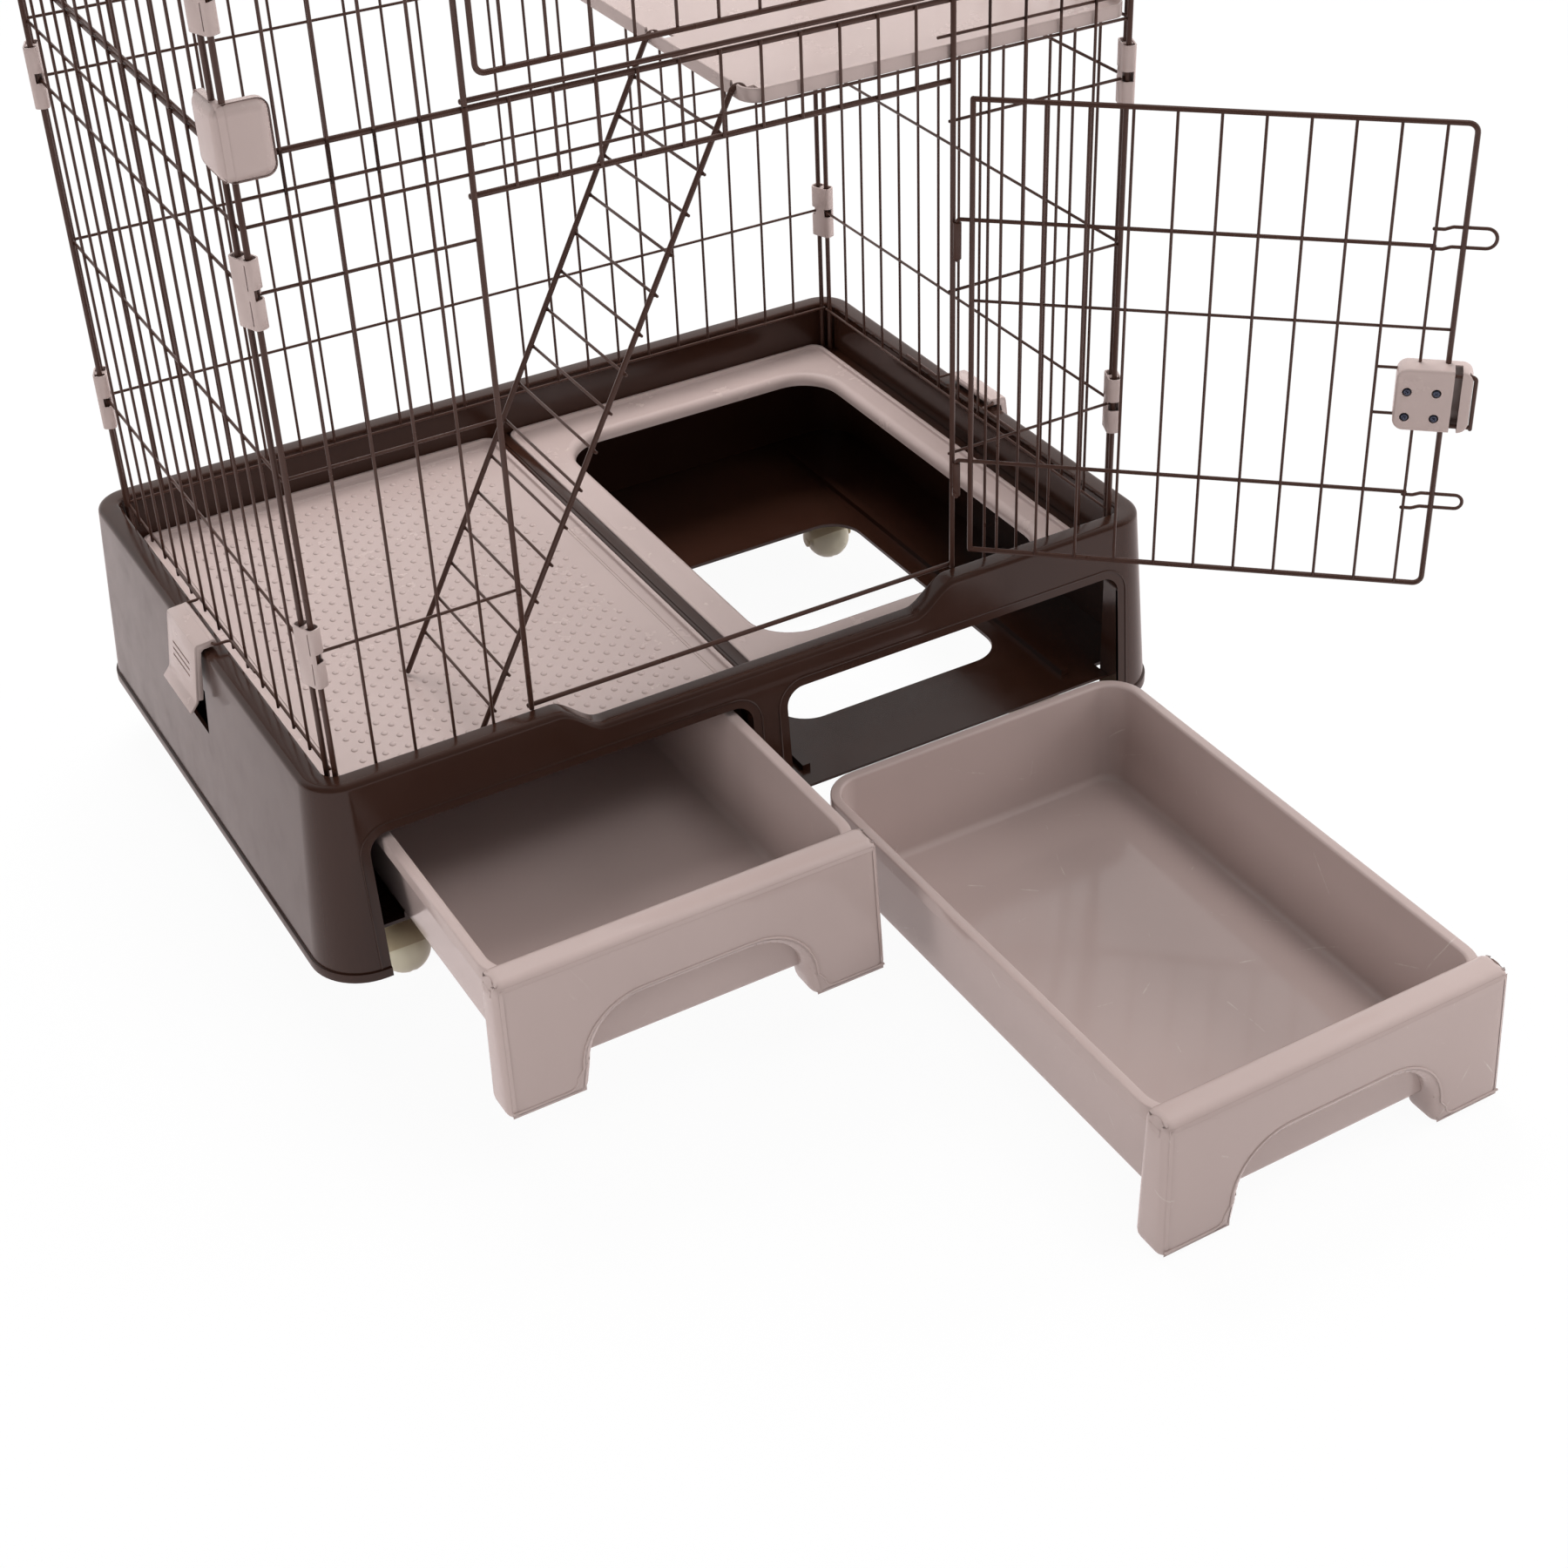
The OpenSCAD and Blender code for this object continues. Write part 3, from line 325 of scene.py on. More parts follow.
foot = flare + skirt
foot_size = (rim_size[0] + 2 * foot, rim_size[1] + 2 * foot)
skin = rounded_face("base_skin", foot_size, corner + foot, (0, 0, 0), 14)
draw_in((0.0001, 0.0080), (0.0003, 0.0007), (0.0018, 0.0003))
last = foot_band
for height in (0.040, 0.075, 0.110, 0.140, 0.150, 0.160, 0.170, 0.180, base_height - rim_roll):
    draw_in((flare * (height - last) / base_height, height - last))
    last = height
draw_in(*quarter_roll(rim_roll, 6), (rim_flat, 0), *quarter_roll(pocket_roll, 5, "down"))
last = base_height - pocket_roll
for height in (0.180, 0.170, 0.160, 0.150, 0.1475):
    draw_in((0.0002, height - last))
    last = height
bpy.ops.mesh.delete(type="FACE")
for x in [0, *(side * (sill_flat - dip_step + dip_step * k) for k in range(14) for side in (-1, 1))]:
    bpy.ops.mesh.select_all(action="SELECT")
    bpy.ops.mesh.bisect(plane_co=(x, 0, 0), plane_no=(1, 0, 0))
for y in (-0.030, 0.030):
    bpy.ops.mesh.select_all(action="SELECT")
    bpy.ops.mesh.bisect(plane_co=(0, y, 0), plane_no=(0, 1, 0))
bpy.ops.object.mode_set(mode="OBJECT")
for vertex in skin.data.vertices:
    x, y, z = vertex.co
    if y < -rim_size[1] / 2 + 0.026:
        vertex.co.z -= sill_drop * sill_share(x) * within((z - dip_low) / (dip_high - dip_low))
finish_with(skin, "SOLIDIFY", thickness=wall, offset=-1, use_even_offset=True)


def arched_block(name, x, half, top, radius, front, back, steps=8):
    """Block with round upper corners, from a little under the floor up to its top"""
    piece = block(name, (x - half, front, -0.01), (x + half, back, top))
    clear_picks()
    round_edges(piece, radius, steps, lambda a, b: min(a.z, b.z) > top - 0.001 and abs(a.y - b.y) > 0.001)
    return piece


front_y = -rim_size[1] / 2
reveal_depth = 0.018
sleeves = []
for x in (-bay_center, bay_center):
    shape = (x, bay_half, bay_top, bay_round)
    cut(skin, arched_block("bay_cutter", *shape, front_y - 0.05, front_y + reveal_depth))
    sleeve = arched_block("bay_sleeve", *shape, front_y - 0.03, front_y + reveal_depth)
    bpy.ops.object.mode_set(mode="EDIT")
    pick_faces(sleeve, lambda center, normal: abs(normal.y) > 0.9 or normal.z < -0.9)
    bpy.ops.mesh.delete(type="FACE")
    front_plane = ((0, front_y - flare + 0.0005, 0), (0, -base_height, flare))
    for point, direction in (front_plane, ((0, 0, 0.0005), (0, 0, -1))):
        bpy.ops.mesh.select_all(action="SELECT")
        bpy.ops.mesh.bisect(plane_co=point, plane_no=direction, clear_outer=True)
    bpy.ops.object.mode_set(mode="OBJECT")
    finish_with(sleeve, "SOLIDIFY", thickness=wall, offset=1)
    sleeves.append(sleeve)

webs = []
for x in (-0.018, 0.0145):
    webs.append(block("bay_web", (x, front_y + 0.006, 0.021), (x + wall, -front_y - 0.004, 0.1435)))
webs.append(block("bay_tread", (0.0190, -0.2950, 0.0180), (0.3895, -0.2715, 0.0208)))
seat = 0.3955
ledge = block("deck_ledge", (-0.4095, -0.2795, 0.1405), (0.4095, 0.2795, 0.1470))
cut(ledge, block("deck_recess", (-seat, -0.2782, 0.144), (seat, 0.2782, 0.160)))
for x in (-0.384, 0.026):
    cut(ledge, block("deck_window", (x, -0.267, 0.13), (x + 0.358, 0.267, 0.17)))
for x in (-0.50, 0.40):
    cut(skin, block("clip_hole", (x, -0.0265, 0.104), (x + 0.10, 0.0265, 0.150)))


def drawn(name, points, closed, **settings):
    """A curve through the points, made a mesh"""
    curve = bpy.data.curves.new(name, "CURVE")
    for setting, value in settings.items():
        setattr(curve, setting, value)
    spline = curve.splines.new("POLY")
    spline.points.add(len(points) - 1)
    for place, point in zip(spline.points, points):
        place.co = (*point, 1)
    spline.use_cyclic_u = closed
    piece = bpy.data.objects.new(name, curve)
    bpy.context.scene.collection.objects.link(piece)
    only(piece)
    bpy.ops.object.convert(target="MESH")
    return bpy.context.object


def bead(name, points, radius, closed=False):
    """A thin raised line that follows the points"""
    round_section = {"bevel_depth": radius, "bevel_resolution": 2, "use_fill_caps": True}
    return drawn(name, points, closed, dimensions="3D", **round_section)


def arc(across, up, radius, start, sweep, steps):
    """Points of a round bend about a middle, from an angle on through the sweep"""
    angles = [start + k * sweep / steps for k in range(steps + 1)]
    return [(across + radius * math.cos(a), up + radius * math.sin(a)) for a in angles]


def on_front(x, z):
    """A point on the leaning front wall of the base"""
    return (x, front_y - flare * (1 - z / base_height), z)


beads = []
line_foot, line_margin = 0.0095, 0.009
half, top, turn = bay_half + line_margin, bay_top + line_margin, bay_round + line_margin
for x in (-bay_center, bay_center):
    line = [
        (x - half, line_foot),
        *arc(x - half + turn, top - turn, turn, math.pi, -math.pi / 2, 8),
        *arc(x + half - turn, top - turn, turn, math.pi / 2, -math.pi / 2, 8),
        (x + half, line_foot),
    ]
    beads.append(bead("opening_line", [on_front(*point) for point in line], 0.0009))

housing = join("base_moulding", skin, *sleeves, *webs, ledge, *beads)
smooth(housing)
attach(housing, "base")
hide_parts("base_housing")


# The marks of moulded plastic: cloudy flow streaks, handling haze, hairline
# scratches and the faint orange peel of a polished mould.
marks = bpy.data.node_groups.new("moulding_marks", "ShaderNodeTree")
for label, value in (("Streak Scale", 6.0), ("Haze Scale", 24.0), ("Peel Scale", 420.0), ("Scratches", 0.0)):
    socket = marks.interface.new_socket(label, in_out="INPUT", socket_type="NodeSocketFloat")
    socket.default_value = value
for label in ("Streak", "Haze", "Scratch", "Height"):
    marks.interface.new_socket(label, in_out="OUTPUT", socket_type="NodeSocketFloat")
given, gives = marks.nodes.new("NodeGroupInput"), marks.nodes.new("NodeGroupOutput")
where = shader_node(marks, "TexCoord")
stretch = shader_node(marks, "Mapping", {"Scale": (1.0, 1.0, 0.22)})
streak = shader_node(marks, "TexNoise", {"Detail": 5})
haze = shader_node(marks, "TexNoise", {"Detail": 6, "Roughness": 0.65})
peel = shader_node(marks, "TexNoise", {"Detail": 2})
warp = shader_node(marks, "TexNoise", {"Scale": 9})
lean = shader_node(marks, "VectorMath", {1: (0.012, 0.012, 0.012)}, operation="MULTIPLY_ADD")
hair = shader_node(marks, "TexVoronoi", {"Scale": 8}, feature="DISTANCE_TO_EDGE")
hairline = shader_node(marks, "MapRange", {"From Min": 0.0, "From Max": 0.006, "To Min": 1.0, "To Max": 0.0})
spot = shader_node(marks, "MapRange", {"From Min": 0.56, "From Max": 0.70})
rare = shader_node(marks, "Math", operation="MULTIPLY")
strength = shader_node(marks, "Math", operation="MULTIPLY")
connect(
    marks,
    (where, "Object", stretch, "Vector"),
    (stretch, 0, streak, "Vector"),
    (given, "Streak Scale", streak, "Scale"),
    (where, "Object", haze, "Vector"),
    (given, "Haze Scale", haze, "Scale"),
    (where, "Object", peel, "Vector"),
    (given, "Peel Scale", peel, "Scale"),
    (where, "Object", warp, "Vector"),
    (warp, "Color", lean, 0),
    (where, "Object", lean, 2),
    (lean, 0, hair, "Vector"),
    (hair, "Distance", hairline, "Value"),
    (haze, 0, spot, "Value"),
    (hairline, 0, rare, 0),
    (spot, 0, rare, 1),
    (rare, 0, strength, 0),
    (given, "Scratches", strength, 1),
    (streak, 0, gives, "Streak"),
    (haze, 0, gives, "Haze"),
    (strength, 0, gives, "Scratch"),
    (peel, 0, gives, "Height"),
)
scratch_white = (0.8, 0.76, 0.72, 1)


def moulded(name, deep, pale, gloss, peel_depth, scratches=0.0, sheen=0.5):
    """Moulded plastic between two tones, as rough as the two gloss values say"""
    material = bpy.data.materials.new(name)
    material.use_nodes = True
    tree = material.node_tree
    body = tree.nodes["Principled BSDF"]
    body.inputs["Specular IOR Level"].default_value = sheen
    skin_marks = shader_node(tree, "Group", {"Scratches": scratches}, node_tree=marks)
    tone = shader_node(tree, "Mix", {"A": (*deep, 1), "B": (*pale, 1)}, data_type="RGBA")
    scored = shader_node(tree, "Mix", {"Factor": 0, "B": scratch_white}, data_type="RGBA")
    rough = shader_node(
        tree, "MapRange", {"From Min": 0.3, "From Max": 0.7, "To Min": gloss[0], "To Max": gloss[1]}
    )
    dents = shader_node(tree, "Bump", {"Strength": 0.35, "Distance": peel_depth})
    connect(
        tree,
        (skin_marks, "Streak", tone, "Factor"),
        (tone, "Result", scored, "A"),
        (scored, "Result", body, "Base Color"),
        (skin_marks, "Haze", rough, "Value"),
        (rough, 0, body, "Roughness"),
        (skin_marks, "Height", dents, "Height"),
        (dents, 0, body, "Normal"),
    )
    if scratches:
        connect(tree, (skin_marks, "Scratch", scored, "Factor"))
    return material


def wear(piece, material):
    piece.data.materials.clear()
    piece.data.materials.append(material)


espresso = moulded(
    "espresso_moulding", (0.026, 0.0095, 0.0058), (0.040, 0.0165, 0.0105), (0.12, 0.26), 0.00012, sheen=0.38
)
wear(housing, espresso)


# Floor frame and middle rail: the plate under the base that carries the drawers,
# and the rail that the floor tray and the litter ring lie against.
wear(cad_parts["floor_frame"], espresso)


def soften(piece, width, segments, angle=50):
    """Rounds every edge sharper than the angle"""
    finish_with(
        piece, "BEVEL", width=width, segments=segments, limit_method="ANGLE", angle_limit=math.radians(angle)
    )


rail_half, rail_end = 0.0077, 0.2770
rail = block("center_rail_ridge", (-rail_half, -rail_end, 0.1405), (rail_half, rail_end, 0.1500))
cut(rail, block("rail_groove", (-0.0046, -0.2690, 0.1488), (-0.0030, 0.2690, 0.1510)))
soften(rail, 0.0016, 3)
smooth(rail)
wear(rail, espresso)
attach(rail, "base")
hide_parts("center_rail")


# Litter ring: a greige plate that drops into the right half of the pocket, with a
# raised edge all round and a soft lip rolled down into its large hole.
greige = moulded("greige_moulding", (0.45, 0.350, 0.328), (0.50, 0.395, 0.370), (0.16, 0.30), 0.00010)
plate_half, plate_middle, plate_depth, plate_wall = 0.19345, 0.20165, 0.5554, 0.0026
hole_middle, lip_roll = 0.20555, 0.009
hole_size = (0.3152 + 2 * lip_roll, plate_depth - 0.100 + 2 * lip_roll)
hole_round = 0.045 + lip_roll


def edged_plate(name, x):
    """Plate with a low raised edge and thin walls"""
    plate = rounded_face(name, (2 * plate_half, plate_depth), 0.014, (x, 0, deck - 0.003), 10)
    draw_in((0.0001, 0.0055), *quarter_roll(0.0014, 4), (0.0022, 0), *quarter_roll(0.0014, 3, "down"))
    draw_in((0.0002, -0.0012), *quarter_roll(0.0013, 3, "floor"))
    bpy.ops.object.mode_set(mode="OBJECT")
    finish_with(plate, "SOLIDIFY", thickness=plate_wall, offset=-1)
    return plate


ring = edged_plate("ring_plate", plate_middle)
hole_cutter = rounded_face("hole_cutter", hole_size, hole_round, (hole_middle, 0, 0.13))
bpy.ops.mesh.extrude_region_move(TRANSFORM_OT_translate={"value": (0, 0, 0.04)})
bpy.ops.mesh.select_all(action="SELECT")
bpy.ops.mesh.normals_make_consistent(inside=False)
bpy.ops.object.mode_set(mode="OBJECT")
cut(ring, hole_cutter)
lip = rounded_face("ring_lip", hole_size, hole_round, (hole_middle, 0, deck))
draw_in(*quarter_roll(lip_roll, 8, "down"), (0.0001, -0.0028))
bpy.ops.mesh.delete(type="FACE")
bpy.ops.object.mode_set(mode="OBJECT")
finish_with(lip, "SOLIDIFY", thickness=plate_wall, offset=-1)
ring = join("litter_ring_moulding", ring, lip)
smooth(ring)
wear(ring, greige)
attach(ring, "base")
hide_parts("litter_ring")


# Floor tray: the greige plate of the left half, with a fine double line along its
# edge and staggered rows of small raised dots that keep paws dry.
dot_pitch, dot_radius = 0.0215, 0.0031
dot_first = (-plate_middle - 7 * dot_pitch, -12.5 * dot_pitch * 0.9)


def repeat(piece, count, step):
    """Repeats the piece in a row"""
    offset = {"use_relative_offset": False, "use_constant_offset": True, "constant_offset_displace": step}
    finish_with(piece, "ARRAY", count=count, **offset)
    return piece


tray_plate = edged_plate("floor_tray_moulding", -plate_middle)
lines = []
for margin in (0.0150, 0.0178):
    turn = 0.008
    across, along = plate_half - margin - turn, plate_depth / 2 - margin - turn
    outline = []
    hubs = ((across, along), (-across, along), (-across, -along), (across, -along))
    for quarter, (x, y) in enumerate(hubs):
        outline += arc(-plate_middle + x, y, turn, quarter * math.pi / 2, math.pi / 2, 5)
    lines.append(bead("tray_line", [(x, y, deck) for x, y in outline], 0.0006, closed=True))
dot_rows = []
for shift in (0, 1):
    dot_place = (dot_first[0] + shift * dot_pitch / 2, dot_first[1] + shift * dot_pitch * 0.45, deck)
    bpy.ops.object.select_all(action="DESELECT")
    bpy.ops.mesh.primitive_uv_sphere_add(segments=12, ring_count=8, radius=dot_radius, location=dot_place)
    dot = bpy.context.object
    dot.name = "dot_rows"
    dot.scale = (1, 1.1, 0.34)
    bpy.ops.object.transform_apply(location=True, rotation=True, scale=True)
    bpy.ops.object.mode_set(mode="EDIT")
    bpy.ops.mesh.select_all(action="SELECT")
    bpy.ops.mesh.bisect(plane_co=(0, 0, deck), plane_no=(0, 0, 1), clear_inner=True)
    bpy.ops.object.mode_set(mode="OBJECT")
    repeat(dot, 15 - shift, (dot_pitch, 0, 0))
    dot_rows.append(repeat(dot, 26 - shift, (0, dot_pitch * 0.9, 0)))
tray_plate = join("floor_tray_moulding", tray_plate, *lines, *dot_rows)
smooth(tray_plate)
wear(tray_plate, greige)
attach(tray_plate, "base")
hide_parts("floor_tray")


# Drawers: a deep tray with a folded rim, hung in a hollow front that stands on two
# feet beside an arch. One is pulled out of its bay, the other stands on the floor.
front_half, front_foot, front_high, front_deep = 0.177, 0.180, 0.138, 0.033
front_lean, front_wall, foot_round = 0.0065, 0.0028, 0.010
arch_half, arch_high, arch_round, arch_splay = 0.1020, 0.077, 0.050, 1.07
tray_start, tray_back, tray_half = 0.0093, 0.540, 0.1727
tray_high, tray_deep, tray_wall, tray_slope = 0.133, 0.107, 0.0024, 0.008
tray_round, rim_fold = 0.038, 0.0028


def copy_of(piece, name, move=(0, 0, 0)):
    """A copy with its own mesh, moved to its place"""
    twin = piece.copy()
    twin.data = piece.data.copy()
    twin.name = name
    bpy.context.scene.collection.objects.link(twin)
    twin.data.transform(Matrix.Translation(move))
    return twin


drawer_front = block("drawer_front", (-front_foot, 0, 0), (front_foot, front_deep, front_high))
for vertex in drawer_front.data.vertices:
    if vertex.co.z > 0.1:
        vertex.co.x *= front_half / front_foot
    elif vertex.co.y < 0.01:
        vertex.co.y -= front_lean
arch = arched_block("arch_cutter", 0, arch_half, arch_high, arch_round, -0.05, 0.05, 12)
for vertex in arch.data.vertices:
    if vertex.co.z < 0:
        vertex.co.x *= arch_splay
cut(drawer_front, arch)


def inner_foot_edge(a, b):
    low = all(end.z < 0.001 and abs(abs(end.x) - 1.065 * arch_half) < 0.003 for end in (a, b))
    return low and abs(a.y - b.y) > 0.01


def on_lean(point):
    return abs(point.y + front_lean * (1 - point.z / front_high)) < 0.0004


def outer_edge(a, b):
    side = all(abs(end.x) > front_half - 0.002 and end.z > 0.13 for end in (a, b))
    return side or (on_lean(a) and on_lean(b) and max(a.z, b.z) > 0.002)


round_edges(drawer_front, foot_round, 5, inner_foot_edge)
bpy.ops.object.mode_set(mode="EDIT")
bpy.ops.mesh.select_mode(type="FACE")
pick_faces(drawer_front, lambda center, normal: normal.y > 0.9 or (normal.z < -0.9 and center.z < 0.001))
bpy.ops.mesh.delete(type="FACE")
bpy.ops.object.mode_set(mode="OBJECT")
round_edges(drawer_front, 0.0045, 4, outer_edge)
for vertex in drawer_front.data.vertices:
    point = vertex.co
    if point.y > front_deep - 0.001 and abs(point.x) < 0.13 and point.z < arch_high + 0.01:
        point.y = 0.009
finish_with(drawer_front, "SOLIDIFY", thickness=front_wall, offset=-1)


def on_fascia(x, z):
    """A point just proud of the leaning front of a drawer"""
    return (x, -front_lean * (1 - z / front_high) + 0.0001, z)


half, top, turn = arch_half + line_margin, arch_high + line_margin, arch_round + line_margin
line = [
    (-front_foot + 0.004, line_foot),
    *arc(-half - foot_round - 0.006, line_foot + foot_round, foot_round, -math.pi / 2, math.pi / 2, 6),
    *arc(-half + turn, top - turn, turn, math.pi, -math.pi / 2, 12),
]
line += [(-x, z) for x, z in reversed(line)]
front_line = bead("front_line", [on_fascia(*point) for point in line], 0.0011)
drawer_front = join("drawer_front", drawer_front, front_line)
smooth(drawer_front)

tray_size = (2 * tray_half, tray_back - tray_start)
tray_middle = (0, (tray_start + tray_back) / 2, tray_high - 0.0135)
tray = rounded_face("drawer_tray", tray_size, tray_round, tray_middle, 12)
draw_in((0.0002, 0.0120), *quarter_roll(0.0015, 4), (0.0062, 0), *quarter_roll(rim_fold, 5, "down"))
wall_drop = tray_deep - rim_fold - 0.008 - 0.002
for k in range(6):
    draw_in((tray_slope / 6, -wall_drop / 6))
draw_in(*quarter_roll(0.007, 5, "floor"))
bpy.ops.object.mode_set(mode="OBJECT")
for vertex in tray.data.vertices:
    height = vertex.co.z - (tray_high - 0.004)
    if vertex.co.y < tray_start + 0.06 and height < 0 and vertex.co.y > tray_start + 0.005:
        vertex.co.y -= tray_slope + tray_slope * min(1.0, -height / wall_drop)
finish_with(tray, "SOLIDIFY", thickness=tray_wall, offset=-1)
smooth(tray)

tray_tones = ((0.44, 0.340, 0.318), (0.49, 0.385, 0.360))
gloss_greige = moulded("greige_tray", *tray_tones, (0.08, 0.18), 0.00006, scratches=0.10)
used_greige = moulded("greige_scratched", *tray_tones, (0.045, 0.11), 0.00004, scratches=0.55)
for place, prefix, paint in (
    ((-bay_center, -0.538, 0.001), "left_drawer", gloss_greige),
    ((bay_center - 0.012, -0.888, floor_height), "litter_drawer", used_greige),
):
    for shape, part in ((tray, "tray"), (drawer_front, "fascia")):
        piece = copy_of(shape, f"{prefix}_{part}_moulding", place)
        wear(piece, paint)
        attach(piece, prefix)
        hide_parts(f"{prefix}_{part}")
for shape in (tray, drawer_front):
    bpy.data.objects.remove(shape)


# Casters: a tan hood on a turning stem holds a cream ball on a cross axle. The ball
# trails behind the stem, and a seam runs round it.
ball_radius, trail, ball_height, ball_flat = 0.0245, 0.020, -0.0455, 0.0228
hood_radius, cavity_radius, cap_x, cap_half = 0.0281, 0.0254, 0.0268, 0.0014
ball_middle = Vector((0, -trail, ball_height))
cream = moulded("cream_ball", (0.74, 0.67, 0.50), (0.80, 0.735, 0.575), (0.25, 0.40), 0.0001)
tan = moulded("tan_hood", (0.50, 0.40, 0.255), (0.58, 0.48, 0.325), (0.25, 0.42), 0.0001)


def sphere(name, radius, middle, segments=32, rings=18):
    """A ball whose poles lie on the X axis"""
    bpy.ops.object.select_all(action="DESELECT")
    bpy.ops.mesh.primitive_uv_sphere_add(
        segments=segments, ring_count=rings, radius=radius, location=middle, rotation=(0, math.pi / 2, 0)
    )
    piece = bpy.context.object
    piece.name = name
    bpy.ops.object.transform_apply(location=True, rotation=True, scale=True)
    return piece


def drum(name, radius, low, high, sides=32, rounding=0.001, top_radius=None):
    """A round bar or cone between two points with rounded rims"""
    low, high = Vector(low), Vector(high)
    top = radius if top_radius is None else top_radius
    bpy.ops.object.select_all(action="DESELECT")
    bpy.ops.mesh.primitive_cone_add(vertices=sides, radius1=radius, radius2=top, depth=(high - low).length)
    piece = bpy.context.object
    piece.name = name
    if rounding:
        clear_picks()
        round_edges(piece, rounding, 2, lambda a, b: abs(a.z - b.z) < 1e-6)
    turn = (high - low).to_track_quat("Z", "Y").to_matrix().to_4x4()
    piece.data.transform(Matrix.Translation((low + high) / 2) @ turn)
    return piece


ball = sphere("ball", ball_radius, ball_middle, 32, 22)
for vertex in ball.data.vertices:
    if abs(vertex.co.x) < 0.0004:
        vertex.co = ball_middle + (vertex.co - ball_middle) * 0.972
    vertex.co.x = max(-ball_flat, min(ball_flat, vertex.co.x))
smooth(ball, 50)

hood = sphere("hood", hood_radius, ball_middle)
neck = drum("neck", 0.0175, (0, 0, -0.036), (0, 0, -0.0005), 32, 0.0012, 0.0128)
for vertex in neck.data.vertices:
    vertex.co.y += -0.010 * within((-0.008 - vertex.co.z) / 0.028)
finish_with(hood, "BOOLEAN", operation="UNION", object=neck, solver="FAST")
bpy.data.objects.remove(neck)
cut(hood, sphere("hood_cavity", cavity_radius, ball_middle))
scoop = block("hood_scoop", (-0.06, -0.06, -0.12), (0.06, 0.06, 0))
scoop.data.transform(Matrix.Translation(ball_middle) @ Matrix.Rotation(math.radians(-38), 4, "X"))
cut(hood, scoop)
cut(hood, block("hood_foot", (-0.06, -0.08, -0.12), (0.06, 0.06, ball_height - 0.004)))
caps = []
for x in (-cap_x, cap_x):
    cap_ends = [ball_middle + Vector((x + side * cap_half, 0, 0)) for side in (-1, 1)]
    caps.append(drum("axle_cap", 0.0053, *cap_ends, 24, 0.0006))
hood = join("hood", hood, *caps)
smooth(hood, 40)
for y, row in ((-0.210, "front"), (0.210, "back")):
    for x, side in ((-0.350, "left"), (0.350, "right")):
        for shape, part, paint in ((hood, "hood", tan), (ball, "ball", cream)):
            piece = copy_of(shape, f"caster_{part}_{row}_{side}_moulding", (x, y, 0))
            wear(piece, paint)
            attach(piece, f"caster_{part}_{row}_{side}")
            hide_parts(f"caster_{part}_{row}_{side}")
for shape in (hood, ball):
    bpy.data.objects.remove(shape)


# Side clips: greige flaps that hang on a wire over the rim and snap into the wall.
# Each has a flat saddle, a sloping handle with three scored lines and a flared lip.
clip_half, clip_wall, clip_axis = 0.0375, 0.0028, (0.421, 0.204)
groove_half, groove_wide = 0.0225, 0.0024
fold, lip_fold = Vector((0.4369, 0.2022)), Vector((0.4440, 0.1496))
handle = [
    (0.4185, 0.2064), (0.4348, 0.2050), (0.4363, 0.2042), fold,
    lip_fold, (0.4446, 0.1474), (0.4460, 0.1456), (0.4520, 0.1382),
]
cheek_outline = [
    (0.4190, 0.2008), (0.4190, 0.2064), (0.4345, 0.2048), (0.4366, 0.2022), (0.4438, 0.1492),
    (0.4386, 0.1484), (0.4372, 0.1560), (0.4335, 0.1900), (0.4322, 0.1975), (0.4290, 0.2000),
]


def ribbon(name, path, low, high, thickness):
    """A bent strip: a first quad whose leading edge is extruded along the path"""
    bpy.ops.object.select_all(action="DESELECT")
    bpy.ops.mesh.primitive_plane_add(size=1)
    piece = bpy.context.object
    piece.name = name
    leading = []
    for vertex in piece.data.vertices:
        x, z = path[0] if vertex.co.x < 0 else path[1]
        leading.append(vertex.co.x > 0)
        vertex.co = (x, low if vertex.co.y < 0 else high, z)
    clear_picks()
    for edge in piece.data.edges:
        edge.select = all(leading[v] for v in edge.vertices)
    bpy.ops.object.mode_set(mode="EDIT")
    bpy.ops.mesh.select_mode(type="EDGE")
    for before, after in zip(path[1:], path[2:]):
        step = (after[0] - before[0], 0, after[1] - before[1])
        bpy.ops.mesh.extrude_edges_move(TRANSFORM_OT_translate={"value": step})
    bpy.ops.object.mode_set(mode="OBJECT")
    finish_with(piece, "SOLIDIFY", thickness=thickness, offset=0, use_even_offset=True)
    soften(piece, thickness * 0.28, 2)
    return piece


def prism(name, outline, low, high):
    """A flat plate in the XZ plane with the given outline, between two Y values"""
    points = [(x, z, 0) for x, z in outline]
    piece = drawn(name, points, True, dimensions="2D", fill_mode="BOTH", extrude=(high - low) / 2)
    piece.data.transform(Matrix.Translation((0, (low + high) / 2, 0)) @ Matrix.Rotation(math.pi / 2, 4, "X"))
    finish_with(piece, "WELD", merge_threshold=0.00001)
    soften(piece, 0.0006, 2)
    return piece


